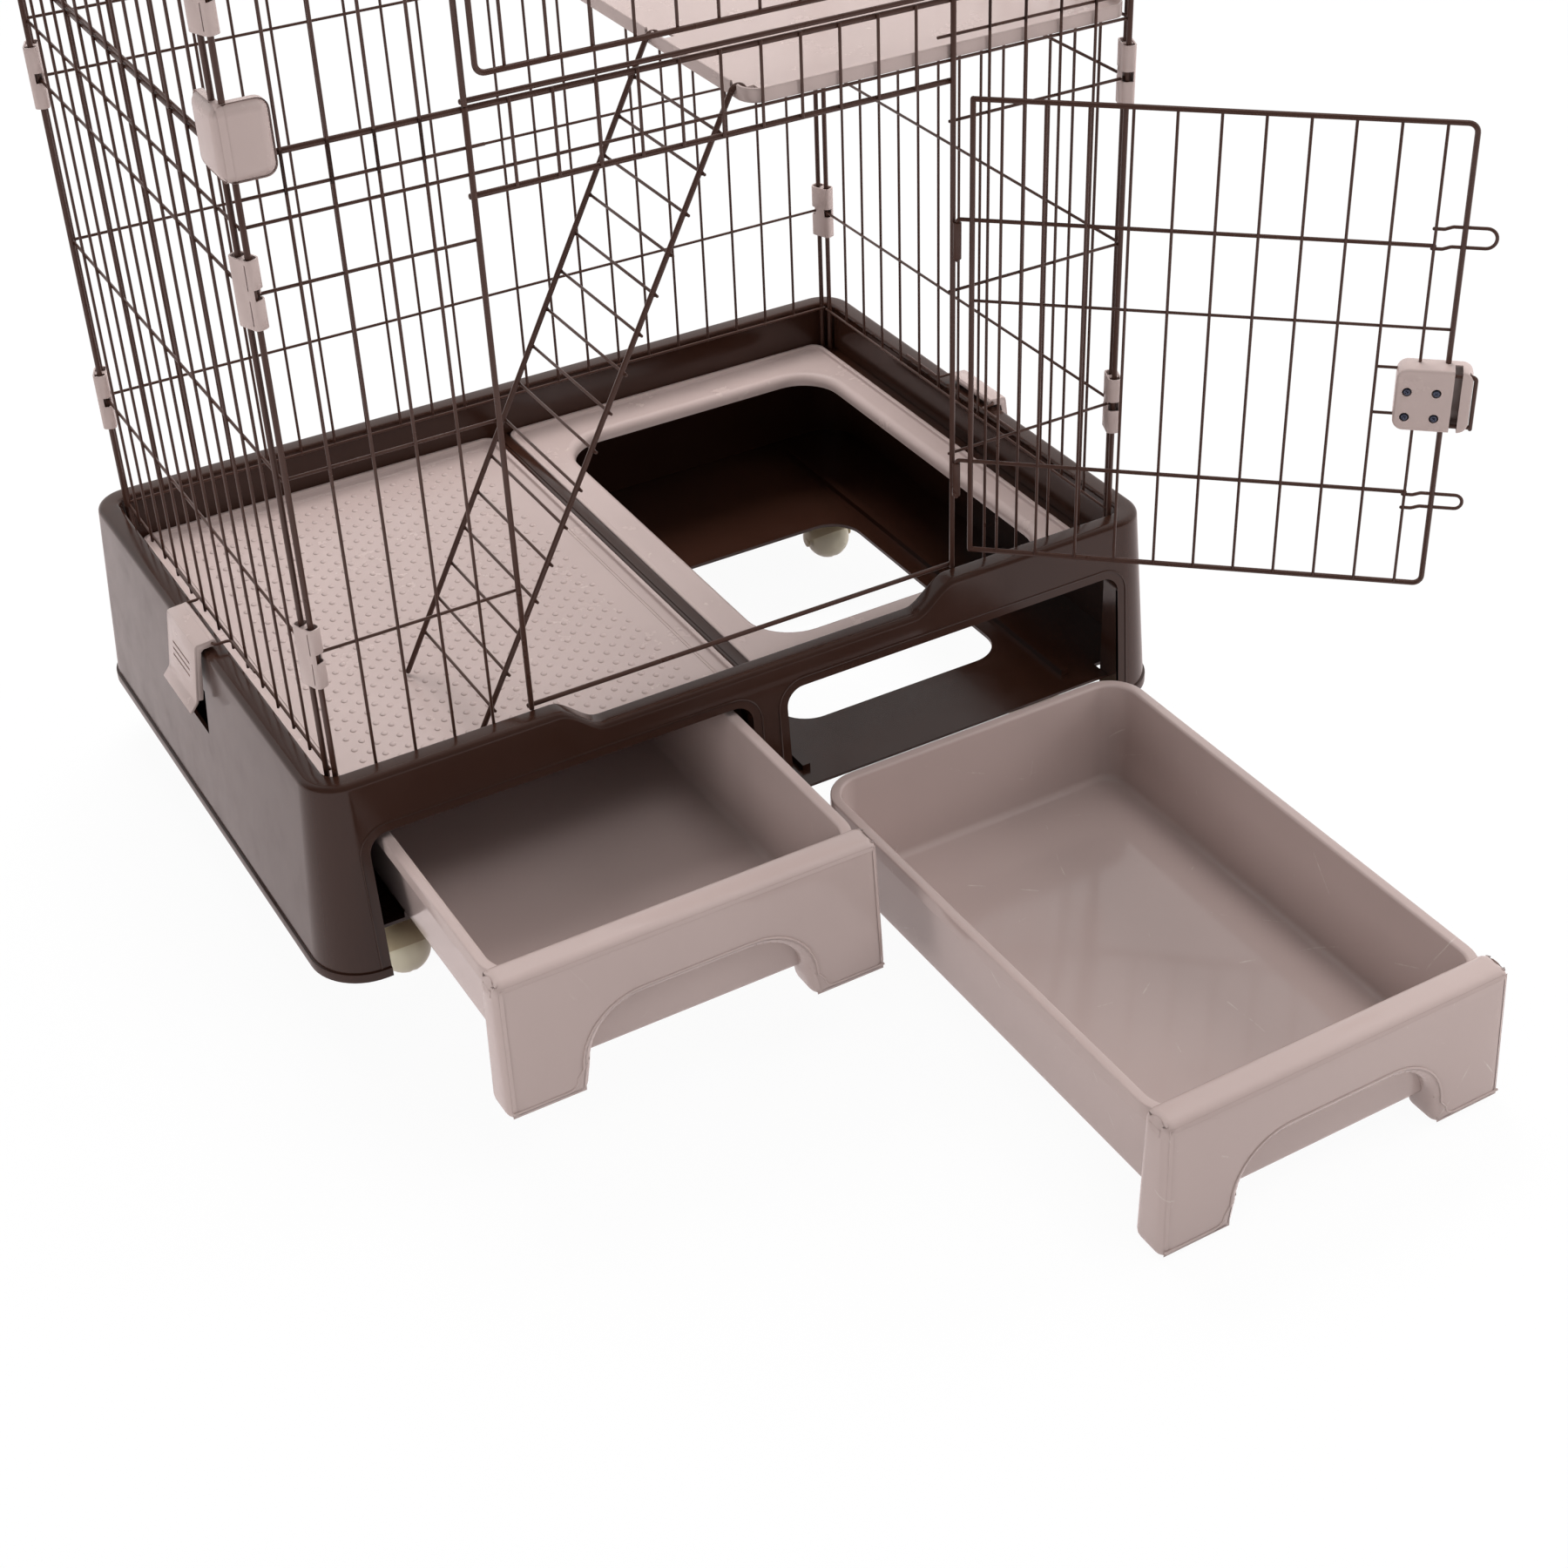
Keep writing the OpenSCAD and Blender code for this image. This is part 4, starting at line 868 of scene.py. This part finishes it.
flap = ribbon("flap", handle, -clip_half, clip_half, clip_wall)
for below in (0.0215, 0.0280, 0.0345):
    x, z = fold + (lip_fold - fold).normalized() * below
    low = (x + 0.0005, -groove_half, z - groove_wide / 2)
    cut(flap, block("groove", low, (x + 0.0040, groove_half, z + groove_wide / 2)))
cheeks = [prism("cheek", cheek_outline, y, y + 0.0023) for y in (-clip_half + 0.0001, clip_half - 0.0024)]
barrel_ends = [(clip_axis[0], y, clip_axis[1]) for y in (-clip_half + 0.0002, clip_half - 0.0002)]
clip = join("clip", flap, *cheeks, drum("barrel", 0.0039, *barrel_ends, 24, 0.0006))
smooth(clip, 28)
for side, name in ((-1, "left"), (1, "right")):
    piece = copy_of(clip, f"side_clip_{name}_moulding")
    if side < 0:
        piece.data.transform(Matrix.Rotation(math.pi, 4, "Z"))
    wear(piece, greige)
    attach(piece, f"side_clip_{name}")
    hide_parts(f"side_clip_{name}")
bpy.data.objects.remove(clip)


# Wire panels: brown powder-coated wires, welded where they cross, with thick corner
# posts and thin ones between them. Each panel is drawn in the plane y = 0 first.
panel_x, panel_y = 0.403, 0.273
wide_half, deep_half, wide_gaps, deep_gaps, jamb_gaps = 0.399, 0.263, 22, 14, 5
thin, thick, sill_thick = 0.0028, 0.005, 0.0044
thin_gap, thick_gap, weld = 0.0024, 0.0035, 0.00165
tier_low, tier_high, panel_height, stub = 0.1947, 0.7400, 0.539, 0.003
rows, lintel, foot_row = (0.118, 0.279, 0.435, 0.488), 0.470, -0.036
pitch = 2 * wide_half / wide_gaps
jamb = wide_half - jamb_gaps * pitch
post_top = panel_height + stub


def wire(name, start, end, diameter, sides=10):
    """A straight wire with rounded ends"""
    return drum(name, diameter / 2, start, end, sides, diameter * 0.26)


def cross_wire(name, reach, y, z, diameter, sides=12):
    """A wire along X that reaches as far to the left as to the right"""
    return wire(name, (-reach, y, z), (reach, y, z), diameter, sides)


def upright(name, x, low, high, diameter, sides=10):
    """A post in the plane y = 0"""
    return wire(name, (x, 0, low), (x, 0, high), diameter, sides)


def bent_wire(name, points, diameter, radius, steps=6):
    """A wire through the points with round bends and rounded ends"""
    points = [Vector(point) for point in points]
    path = [points[0]]
    for before, corner_point, after in zip(points, points[1:], points[2:]):
        inward, outward = (before - corner_point).normalized(), (after - corner_point).normalized()
        half_angle = inward.angle(outward) / 2
        reach = radius / math.tan(half_angle)
        hub = corner_point + (inward + outward).normalized() * radius / math.sin(half_angle)
        first, last_point = corner_point + inward * reach - hub, corner_point + outward * reach - hub
        turn = first.rotation_difference(last_point)
        for k in range(steps + 1):
            path.append(hub + Quaternion().slerp(turn, k / steps) @ first)
    path.append(points[-1])
    piece = bead(name, path, diameter / 2)
    ends = [sphere("wire_end", diameter / 2, end, 10, 6) for end in (path[0], path[-1])]
    return join(name, piece, *ends)


def weld_spots(start, count, step, size=weld):
    """Small beads of metal where a row crosses the posts"""
    return repeat(sphere("weld_spot", size, start, 8, 6), count, step)


def plain_panel(name, half, gaps):
    """Posts from side to side, crossed by thin rows and a thick one at the top"""
    gap = 2 * half / gaps
    parts = []
    for z in (0, *rows):
        parts.append(cross_wire("row", half + stub, thin_gap, z, thin, 10))
        parts.append(weld_spots((-half + gap, thin_gap / 2, z), gaps - 1, (gap, 0, 0)))
    parts.append(cross_wire("top_row", half + stub, thick_gap, panel_height, thick))
    parts.append(repeat(upright("posts", -half + gap, -stub, post_top, thin), gaps - 1, (gap, 0, 0)))
    return join(name, *parts)


back_panel = plain_panel("back_panel", wide_half, wide_gaps)
end_panel = plain_panel("end_panel", deep_half, deep_gaps)

parts = []
for side in (-1, 1):
    first_post = side * (wide_half - pitch)
    parts.append(upright("jamb_post", side * jamb, -stub, post_top, thick, 14))
    foot_ends = [(x, thin_gap, foot_row) for x in (first_post - side * 4.4 * pitch, side * wide_half)]
    parts.append(wire("foot_row", *foot_ends, thin))
    ends = sorted((side * (wide_half + stub), side * (jamb - stub)))
    for z in rows[:3]:
        parts.append(wire("side_row", (ends[0], thin_gap, z), (ends[1], thin_gap, z), thin))
        parts.append(weld_spots((first_post, thin_gap / 2, z), 4, (-side * pitch, 0, 0)))
    post = upright("side_posts", first_post, foot_row - stub, post_top, thin)
    parts.append(repeat(post, 4, (-side * pitch, 0, 0)))
parts.append(repeat(upright("short_posts", -jamb + pitch, lintel, post_top, thin), 11, (pitch, 0, 0)))
parts.append(cross_wire("sill_wire", jamb + stub, thin_gap + 0.0005, 0, sill_thick))
parts.append(cross_wire("row", wide_half + stub, thin_gap, rows[3], thin, 10))
parts.append(weld_spots((-wide_half + pitch, thin_gap / 2, rows[3]), wide_gaps - 1, (pitch, 0, 0)))
parts.append(cross_wire("top_row", wide_half + stub, thick_gap, panel_height, thick))
parts.append(cross_wire("lintel", jamb + stub, thick_gap, lintel, thick))
hinge_y, sleeve_length = -0.007, 0.034
for z in (0.115, 0.350):
    top = z - thick / 2 - 0.0003
    sleeve_ends = [(jamb, hinge_y, height) for height in (top - sleeve_length, top)]
    bore_ends = [(jamb, hinge_y, height) for height in (top - 0.05, top + 0.02)]
    sleeve = drum("hinge_sleeve", 0.00375, *sleeve_ends, 20, 0.0005)
    cut(sleeve, drum("sleeve_bore", 0.00212, *bore_ends, 20, 0))
    tab = block("hinge_tab", (jamb - 0.0014, -0.0048, top - 0.032), (jamb + 0.0014, -0.0004, top - 0.002))
    finish_with(tab, "BEVEL", width=0.0004, segments=2)
    parts += [sleeve, tab]
front_panel = join("front_panel", *parts)

coated = moulded(
    "coated_wire", (0.046, 0.0195, 0.0135), (0.066, 0.030, 0.0215), (0.24, 0.40), 0.00006, sheen=0.4
)
panels = (
    ("front", front_panel, wide_half, (0, -panel_y, 0), 0),
    ("back", back_panel, wide_half, (0, panel_y, 0), math.pi),
    ("left", end_panel, deep_half, (-panel_x, 0, 0), -math.pi / 2),
    ("right", end_panel, deep_half, (panel_x, 0, 0), math.pi / 2),
)
clip_reach, clip_bend, clip_arm = 0.018, 0.0415, 0.1035
clip_path = [
    (-clip_arm, -thin_gap), (-clip_bend, -thin_gap), (-clip_bend, -clip_reach),
    (clip_bend, -clip_reach), (clip_bend, -thin_gap), (clip_arm, -thin_gap),
]
for tier, tier_z, foot in (("lower", tier_low, deck - tier_low), ("upper", tier_high, -thick / 2)):
    for side, shape, half, place, turn in panels:
        parts = [copy_of(shape, f"{tier}_{side}_wires")]
        parts += [upright("corner_post", x, foot, post_top, thick, 14) for x in (-half, half)]
        if tier == "lower" and side in ("left", "right"):
            path = [(x, y, clip_axis[1] - tier_low) for x, y in clip_path]
            parts.append(bent_wire("clip_wire", path, thin, 0.004))
        panel = join(f"{tier}_{side}_wires", *parts)
        turned = Matrix.Translation(place) @ Matrix.Rotation(turn, 4, "Z")
        panel.data.transform(Matrix.Translation((0, 0, tier_z)) @ turned)
        smooth(panel, 40)
        wear(panel, coated)
        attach(panel, "base")
        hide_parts(f"{tier}_{side}_panel")
for shape in (front_panel, back_panel, end_panel):
    bpy.data.objects.remove(shape)


# Doors: one thick wire bent round the free side, thin posts behind it, two bars that
# end in loops as finger stops, and two pins that drop into the hinge sleeves.
door_first, door_last, door_low, door_high = 0.013, 0.42628, 0.022, 0.458
door_posts, first_gap, door_bend, middle_row = 11, 0.025, 0.008, 0.274
door_gap = (door_last - door_first - 0.049) / (door_posts - 1)
pin, pin_length, pin_bend = 0.0038, 0.038, 0.003
loops = ((0.115, 0.0134, -1), (0.350, 0.0178, 1))
loop_wire, loop_reach, loop_jog = thin + 0.0004, 0.028, 0.0025
latch_middle, rail_apart = 0.214, 0.022
post_x = -door_first - first_gap


def at_height(z, *across):
    """Points of the door's plane at one height"""
    return [(x, 0, z) for x in across]


parts = [bent_wire("door_frame", [
    *at_height(door_low, -door_first, -door_last), *at_height(door_high, -door_last, -door_first),
], thick, door_bend)]
parts.append(upright("hinge_post", -door_first, door_low - 0.001, door_high + 0.001, thick, 14))
post = wire("door_posts", (post_x, thin_gap / 2, door_low), (post_x, thin_gap / 2, door_high), thin)
parts.append(repeat(post, door_posts, (-door_gap, 0, 0)))
row_ends = [(x - 0.002, -thin_gap / 2, middle_row) for x in (-door_last, -door_first)]
parts.append(wire("middle_row", *row_ends, thin))
parts.append(weld_spots((post_x, 0, middle_row), door_posts, (-door_gap, 0, 0), 0.0016))
for z, height, up in loops:
    near, far = -door_last - 0.004, -door_last - loop_reach + thin / 2
    hinge_path = [*at_height(z, -door_last + 0.024, 0), (0, 0, z - pin_length)]
    parts.append(bent_wire("hinge_bar", hinge_path, pin, pin_bend))
    for row_z in (z, z + up * height):
        leg_path = at_height(row_z - loop_jog, -door_last + 0.0255, -door_last + 0.017)
        leg_path += at_height(row_z, -door_last + 0.010, near)
        parts.append(bent_wire("loop_leg", leg_path, loop_wire, 0.006, 4))
    loop_path = [*at_height(z, near, far), *at_height(z + up * height, far, near)]
    parts.append(bent_wire("loop", loop_path, loop_wire, height / 2 - 0.0001))
    parts.append(weld_spots((post_x, thin_gap / 4, z), door_posts, (-door_gap, 0, 0), 0.0021))
for z in (latch_middle - rail_apart, latch_middle + rail_apart):
    parts.append(wire("latch_rail", *at_height(z, -door_last, -door_last + door_gap + 0.024), thin))
door = join("door", *parts)
smooth(door, 40)


# Latches: two greige half shells screwed together over the door's last posts, with a
# slot that takes the jamb, and a bent wire bolt that slides inside them.
latch_start, latch_end, latch_high, latch_wall = 0.38328, 0.44828, 0.059, 0.0016
latch_out, latch_in = 0.007, 0.0175
bolt_y, bolt_leg, bolt_end, bolt_wire, leg_start = 0.0137, 0.024, 0.45028, 0.0038, latch_start + 0.032
slot_near, slot_far, way_end = 0.4320, 0.4386, 0.4258
screw_radius, well_radius, cross_half = 0.0030, 0.0042, 0.00035
screw_at = ((0.010, -0.016), (0.035, -0.016), (0.010, 0.008), (0.035, 0.008))


def latch_half(name, depth, crown, turn):
    """Half of the latch block: a crowned shell, turned to face in or out"""
    half = rounded_face(name, (0.065, latch_high), 0.010, (0, 0, 0), 8)
    draw_in((0.0001, depth - crown), *quarter_roll(crown, 5), (0.003, 0.0002))
    bpy.ops.mesh.select_all(action="SELECT")
    bpy.ops.mesh.normals_make_consistent(inside=False)
    bpy.ops.object.mode_set(mode="OBJECT")
    finish_with(half, "SOLIDIFY", thickness=latch_wall, offset=-1)
    middle = Matrix.Translation((-(latch_start + latch_end) / 2, 0, latch_middle))
    half.data.transform(middle @ Matrix.Rotation(turn, 4, "X"))
    return half


inner_half = latch_half("inner_half", latch_in, 0.0028, -math.pi / 2)
way_low = (-latch_end - 0.003, bolt_y - 0.0026, latch_middle - 0.027)
cut(inner_half, block("bolt_way", way_low, (-way_end, bolt_y + 0.0021, latch_middle + 0.027)))
slot_low = (-slot_far, 0.0035, latch_middle - 0.06)
cut(inner_half, block("jamb_cutter", slot_low, (-slot_near, 0.04, latch_middle + 0.06)))
screw_places = [Vector((-latch_start - x, latch_in, latch_middle + z)) for x, z in screw_at]
for middle in screw_places:
    well_ends = (middle - Vector((0, 0.0016, 0)), middle + Vector((0, 0.004, 0)))
    cut(inner_half, drum("screw_well", well_radius, *well_ends, 20, 0))
outer_half = latch_half("outer_half", latch_out, 0.0025, math.pi / 2)
for shape in (inner_half, outer_half):
    smooth(shape, 35)

screws = []
for middle, (x, _) in zip(screw_places, screw_at):
    head_ends = (middle - Vector((0, 0.002, 0)), middle + Vector((0, 0.0008, 0)))
    head = drum("screw", screw_radius, *head_ends, 20, 0.0007)
    for angle in (0, math.pi / 2):
        slot_cutter = block("cross_slot", (-0.0017, 0.0001, -cross_half), (0.0017, 0.003, cross_half))
        slot_cutter.data.transform(Matrix.Translation(middle) @ Matrix.Rotation(angle + 0.4 + 9 * x, 4, "Y"))
        cut(head, slot_cutter)
    screws.append(head)
screws = join("screws", *screws)
smooth(screws, 35)
top_leg = [(x, bolt_y, latch_middle + bolt_leg) for x in (-leg_start, -bolt_end)]
low_leg = [(x, bolt_y, latch_middle - bolt_leg) for x in (-leg_start, -bolt_end)]
bolt_path = [*top_leg, (-bolt_end, bolt_y, latch_middle - bolt_leg - 0.0015)]
bolt = bent_wire("bolt", bolt_path, bolt_wire, 0.004)
bolt = join("bolt", bolt, wire("bolt_leg", *low_leg, bolt_wire, 14))
smooth(bolt, 40)

blued = bpy.data.materials.new("blued_steel")
blued.use_nodes = True
tree = blued.node_tree
body = tree.nodes["Principled BSDF"]
body.inputs["Metallic"].default_value = 0.85
grain = shader_node(tree, "TexNoise", {"Scale": 900})
where = shader_node(tree, "TexCoord")
shade = shader_node(tree, "MapRange", {"To Min": 0.22, "To Max": 0.5})
tint = shader_node(tree, "Mix", {"A": (0.045, 0.055, 0.085, 1), "B": (0.12, 0.14, 0.20, 1)}, data_type="RGBA")
connect(
    tree,
    (where, "Object", grain, "Vector"),
    (grain, 0, shade, "Value"),
    (shade, 0, body, "Roughness"),
    (grain, 0, tint, "Factor"),
    (tint, "Result", body, "Base Color"),
)

for tier, tier_z, turn, drawn_back in (("lower", tier_low, 138.5, 0), ("upper", tier_high, 0, 0.022)):
    hinge = Matrix.Translation((jamb, -panel_y + hinge_y, tier_z))
    place = hinge @ Matrix.Rotation(math.radians(turn), 4, "Z")
    for shape, node, body_name, paint, slot in (
        (door, "door", "door", coated, "coated_wire"),
        (inner_half, "latch_inner", "door", greige, "pale_plastic"),
        (outer_half, "latch_outer", "door", greige, "pale_plastic"),
        (screws, "latch_screws", "door", blued, "screw_steel"),
        (bolt, "latch_bolt", "bolt", coated, "coated_wire"),
    ):
        piece = copy_of(shape, f"{tier}_{node}_form")
        if shape is bolt:
            piece.data.transform(Matrix.Translation((drawn_back, 0, 0)))
        piece.data.transform(place)
        wear(piece, paint)
        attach(piece, f"{tier}_{body_name}")
        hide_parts(f"{tier}_{node}")
for shape in (door, inner_half, outer_half, screws, bolt):
    bpy.data.objects.remove(shape)


# Corner clips: thin greige sleeves pressed over the two posts at each corner, flat on
# the outside, slit beside the snap leaves and notched where a cross wire comes out.
clip_size, clip_height, clip_round = (0.0238, 0.0128), 0.056, 0.0046
slit_length, notch_low, notch_high = 0.0205, 0.0235, 0.0325
sleeve = rounded_face("corner_clip", clip_size, clip_round, (0, 0, 0), 5)
bpy.ops.mesh.extrude_region_move(TRANSFORM_OT_translate={"value": (0, 0, clip_height)})
bpy.ops.mesh.select_all(action="SELECT")
bpy.ops.mesh.normals_make_consistent(inside=False)
pick_faces(sleeve, lambda center, normal: abs(normal.z) > 0.9)
bpy.ops.mesh.delete(type="FACE")
bpy.ops.object.mode_set(mode="OBJECT")
finish_with(sleeve, "SOLIDIFY", thickness=0.0015, offset=-1)
for low in (0.0035, 0.0320):
    cut(sleeve, block("slit", (0.0066, -0.0075, low), (0.0077, -0.0030, low + slit_length)))
cut(sleeve, block("notch", (0.0062, -0.0040, notch_low), (0.0150, 0.0080, notch_high)))
cut(sleeve, block("notch", (-0.0150, -0.0005, notch_low), (-0.0062, 0.0080, notch_high)))
bridge = block("bridge", (-0.0030, -0.0058, 0.0010), (0.0030, 0.0058, clip_height - 0.0012))
soften(sleeve, 0.00035, 2, 60)
sleeve = join("corner_clip", sleeve, bridge)
angle = math.atan2(panel_y - deep_half, wide_half - panel_x)
sleeve.data.transform(Matrix.Translation((0.401, 0.268, 0)) @ Matrix.Rotation(angle, 4, "Z"))


def at_corners(piece):
    """Four copies mirrored to the corners, with their faces turned outwards again"""
    twins = []
    for flip_x in (False, True):
        for flip_y in (False, True):
            twin = copy_of(piece, piece.name)
            twin.data.transform(Matrix.Diagonal((-1 if flip_x else 1, -1 if flip_y else 1, 1, 1)))
            if flip_x != flip_y:
                twin.data.flip_normals()
            twins.append(twin)
    return twins


for tier, tier_z in (("lower", tier_low), ("upper", tier_high)):
    clips = []
    for row_z in (rows[0] - 0.001, rows[2] + 0.003):
        for clip in at_corners(sleeve):
            clip.data.transform(Matrix.Translation((0, 0, tier_z + row_z - clip_height / 2)))
            clips.append(clip)
    clips = join(f"{tier}_corner_sleeves", *clips)
    smooth(clips, 40)
    wear(clips, greige)
    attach(clips, "base")
    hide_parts(f"{tier}_corner_clips")
bpy.data.objects.remove(sleeve)


# Storey brackets: greige angle blocks with round lower corners that clasp the top of
# one storey and the foot of the next.
bracket_high, bracket_half, bracket_past, arm_x, arm_y = 0.060, 0.007, 0.005, 0.037, 0.045
bracket_low = tier_high - 0.021
bracket_top = bracket_low + bracket_high
leg_x = block(
    "bracket_leg",
    (panel_x - arm_x, panel_y - bracket_half, bracket_low),
    (panel_x + bracket_past, panel_y + bracket_half, bracket_top),
)
leg_y = block(
    "bracket_leg",
    (panel_x - bracket_half, panel_y - arm_y, bracket_low + 0.0001),
    (panel_x + bracket_half, panel_y + bracket_half - 0.0001, bracket_top - 0.0001),
)
for leg, axis in ((leg_x, 0), (leg_y, 1)):
    tip, other = min(vertex.co[axis] for vertex in leg.data.vertices) + 0.0001, 1 - axis
    only(leg)
    round_edges(leg, 0.010, 6, lambda a, b: max(a[axis], b[axis]) < tip and abs(a[other] - b[other]) > 0.001)
finish_with(leg_x, "BOOLEAN", operation="UNION", object=leg_y, solver="FAST")
bpy.data.objects.remove(leg_y)
soften(leg_x, 0.0030, 4)
brackets = join("storey_bracket_blocks", *at_corners(leg_x))
bpy.data.objects.remove(leg_x)
smooth(brackets, 40)
wear(brackets, greige)
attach(brackets, "base")
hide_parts("storey_brackets")


# Shelf: a greige plate with an upturned lip on the right, half-way up, and a round
# bar along its open edge that the ladder hooks over.
shelf_low, shelf_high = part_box("shelf")
bar_radius, bar_margin, shelf_round = 0.004, 0.018, 0.016
ladder_middle, ladder_half, slot_half = -0.1715, 0.074, 0.0055
shelf_size = (shelf_high.x - shelf_low.x, shelf_high.y - shelf_low.y)
bar_x = shelf_low.x + bar_radius
bar_z = 0.0015 + tier_low + rows[3] + thin / 2 + 0.0003
plate_z = bar_z - 0.0015
shelf_middle = ((shelf_low.x + shelf_high.x) / 2, 0, plate_z)
shelf_plate = rounded_face("shelf_plate", shelf_size, shelf_round, shelf_middle, 10)
draw_in((0.0001, 0.0108), *quarter_roll(0.0011, 3), (0.0001, 0), *quarter_roll(0.0011, 3, "down"))
draw_in((0.0004, -0.0040), *quarter_roll(0.0035, 5, "floor"), (0.006, 0))
bpy.ops.object.mode_set(mode="OBJECT")
finish_with(shelf_plate, "SOLIDIFY", thickness=0.0024, offset=-1)
bar_ends = [(bar_x, y, bar_z) for y in (shelf_low.y + bar_margin, shelf_high.y - bar_margin)]
bar = drum("edge_bar", bar_radius - 0.0001, *bar_ends, 20, 0.0008)
for y in (-ladder_half, ladder_half):
    slot_low = (shelf_low.x - 0.004, ladder_middle + y - slot_half, plate_z - 0.01)
    slot_high = (bar_x + 0.018, ladder_middle + y + slot_half, plate_z + 0.03)
    cut(shelf_plate, block("hook_slot", slot_low, slot_high))
shelf_plate = join("shelf_plate", shelf_plate, bar)
smooth(shelf_plate, 40)
wear(shelf_plate, greige)
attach(shelf_plate, "base")
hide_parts("shelf")


# Ladder: two thick rails hooked over the shelf's bar, with thin rungs welded on top
# that stick out a little past the rails.
rung_pitch, rung_margin, rung_past = 0.0357, 0.043, 0.004
hook_wire = thick + 0.0006
hook_radius = bar_radius + 0.00008 + hook_wire / 2
lean = math.radians(28)
ladder_length = (bar_z + (hook_radius - thick / 2) * math.sin(lean) - deck - 0.0003) / math.cos(lean)
parts = []
for y in (-ladder_half, ladder_half):
    path = [(-hook_radius, -ladder_length + 0.0025), *arc(0, 0, hook_radius, math.pi, -math.pi, 12)]
    path = [(x, y, z) for x, z in path]
    parts.append(bead("rail", path, thick / 2))
    parts += [sphere("rail_end", thick / 2, end, 12, 8) for end in (path[0], path[-1])]
rung_count = int((ladder_length - 0.040) / rung_pitch)
rung_x, rung_z, rung_reach = -hook_radius + thick_gap, -ladder_length + rung_margin, ladder_half + rung_past
rung = wire("rungs", (rung_x, -rung_reach, rung_z), (rung_x, rung_reach, rung_z), thin)
parts.append(repeat(rung, rung_count, (0, 0, rung_pitch)))
for y in (-ladder_half, ladder_half):
    parts.append(weld_spots((-hook_radius + 0.0026, y, rung_z), rung_count, (0, 0, rung_pitch), 0.0021))
ladder = join("ladder_wires", *parts)
ladder.data.transform(Matrix.Translation((bar_x, ladder_middle, bar_z)) @ Matrix.Rotation(lean, 4, "Y"))
smooth(ladder, 40)
wear(ladder, coated)
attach(ladder, "ladder")
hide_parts("ladder")


# Roof: a flat panel of the same wires in a thick frame, laid on the upper storey.
# Its rails lie under the roof wires and are welded to them.
roof_z = tier_high + panel_height + stub + thick / 2 + 0.0003
roof_x, roof_y = panel_x - 0.002, panel_y - 0.002
roof_pitch = 2 * roof_x / wide_gaps
wire_x = -roof_x + roof_pitch
parts = []
for y in (-roof_y, roof_y):
    parts.append(cross_wire("roof_edge", roof_x + thick / 2, y, roof_z, thick, 14))
for x in (-roof_x, roof_x):
    parts.append(wire("roof_edge", (x, -roof_y, roof_z), (x, roof_y, roof_z), thick, 14))
for y in (-roof_y / 2, 0, roof_y / 2):
    parts.append(cross_wire("roof_rail", roof_x, y, roof_z - thin_gap / 2, thin, 10))
    parts.append(weld_spots((wire_x, y, roof_z), wide_gaps - 1, (roof_pitch, 0, 0)))
wire_z = roof_z + thin_gap / 2
roof_wire = wire("roof_wires", (wire_x, -roof_y, wire_z), (wire_x, roof_y, wire_z), thin)
parts.append(repeat(roof_wire, wide_gaps - 1, (roof_pitch, 0, 0)))
roof = join("roof_wires", *parts)
smooth(roof, 40)
wear(roof, coated)
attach(roof, "base")
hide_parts("roof_panel")
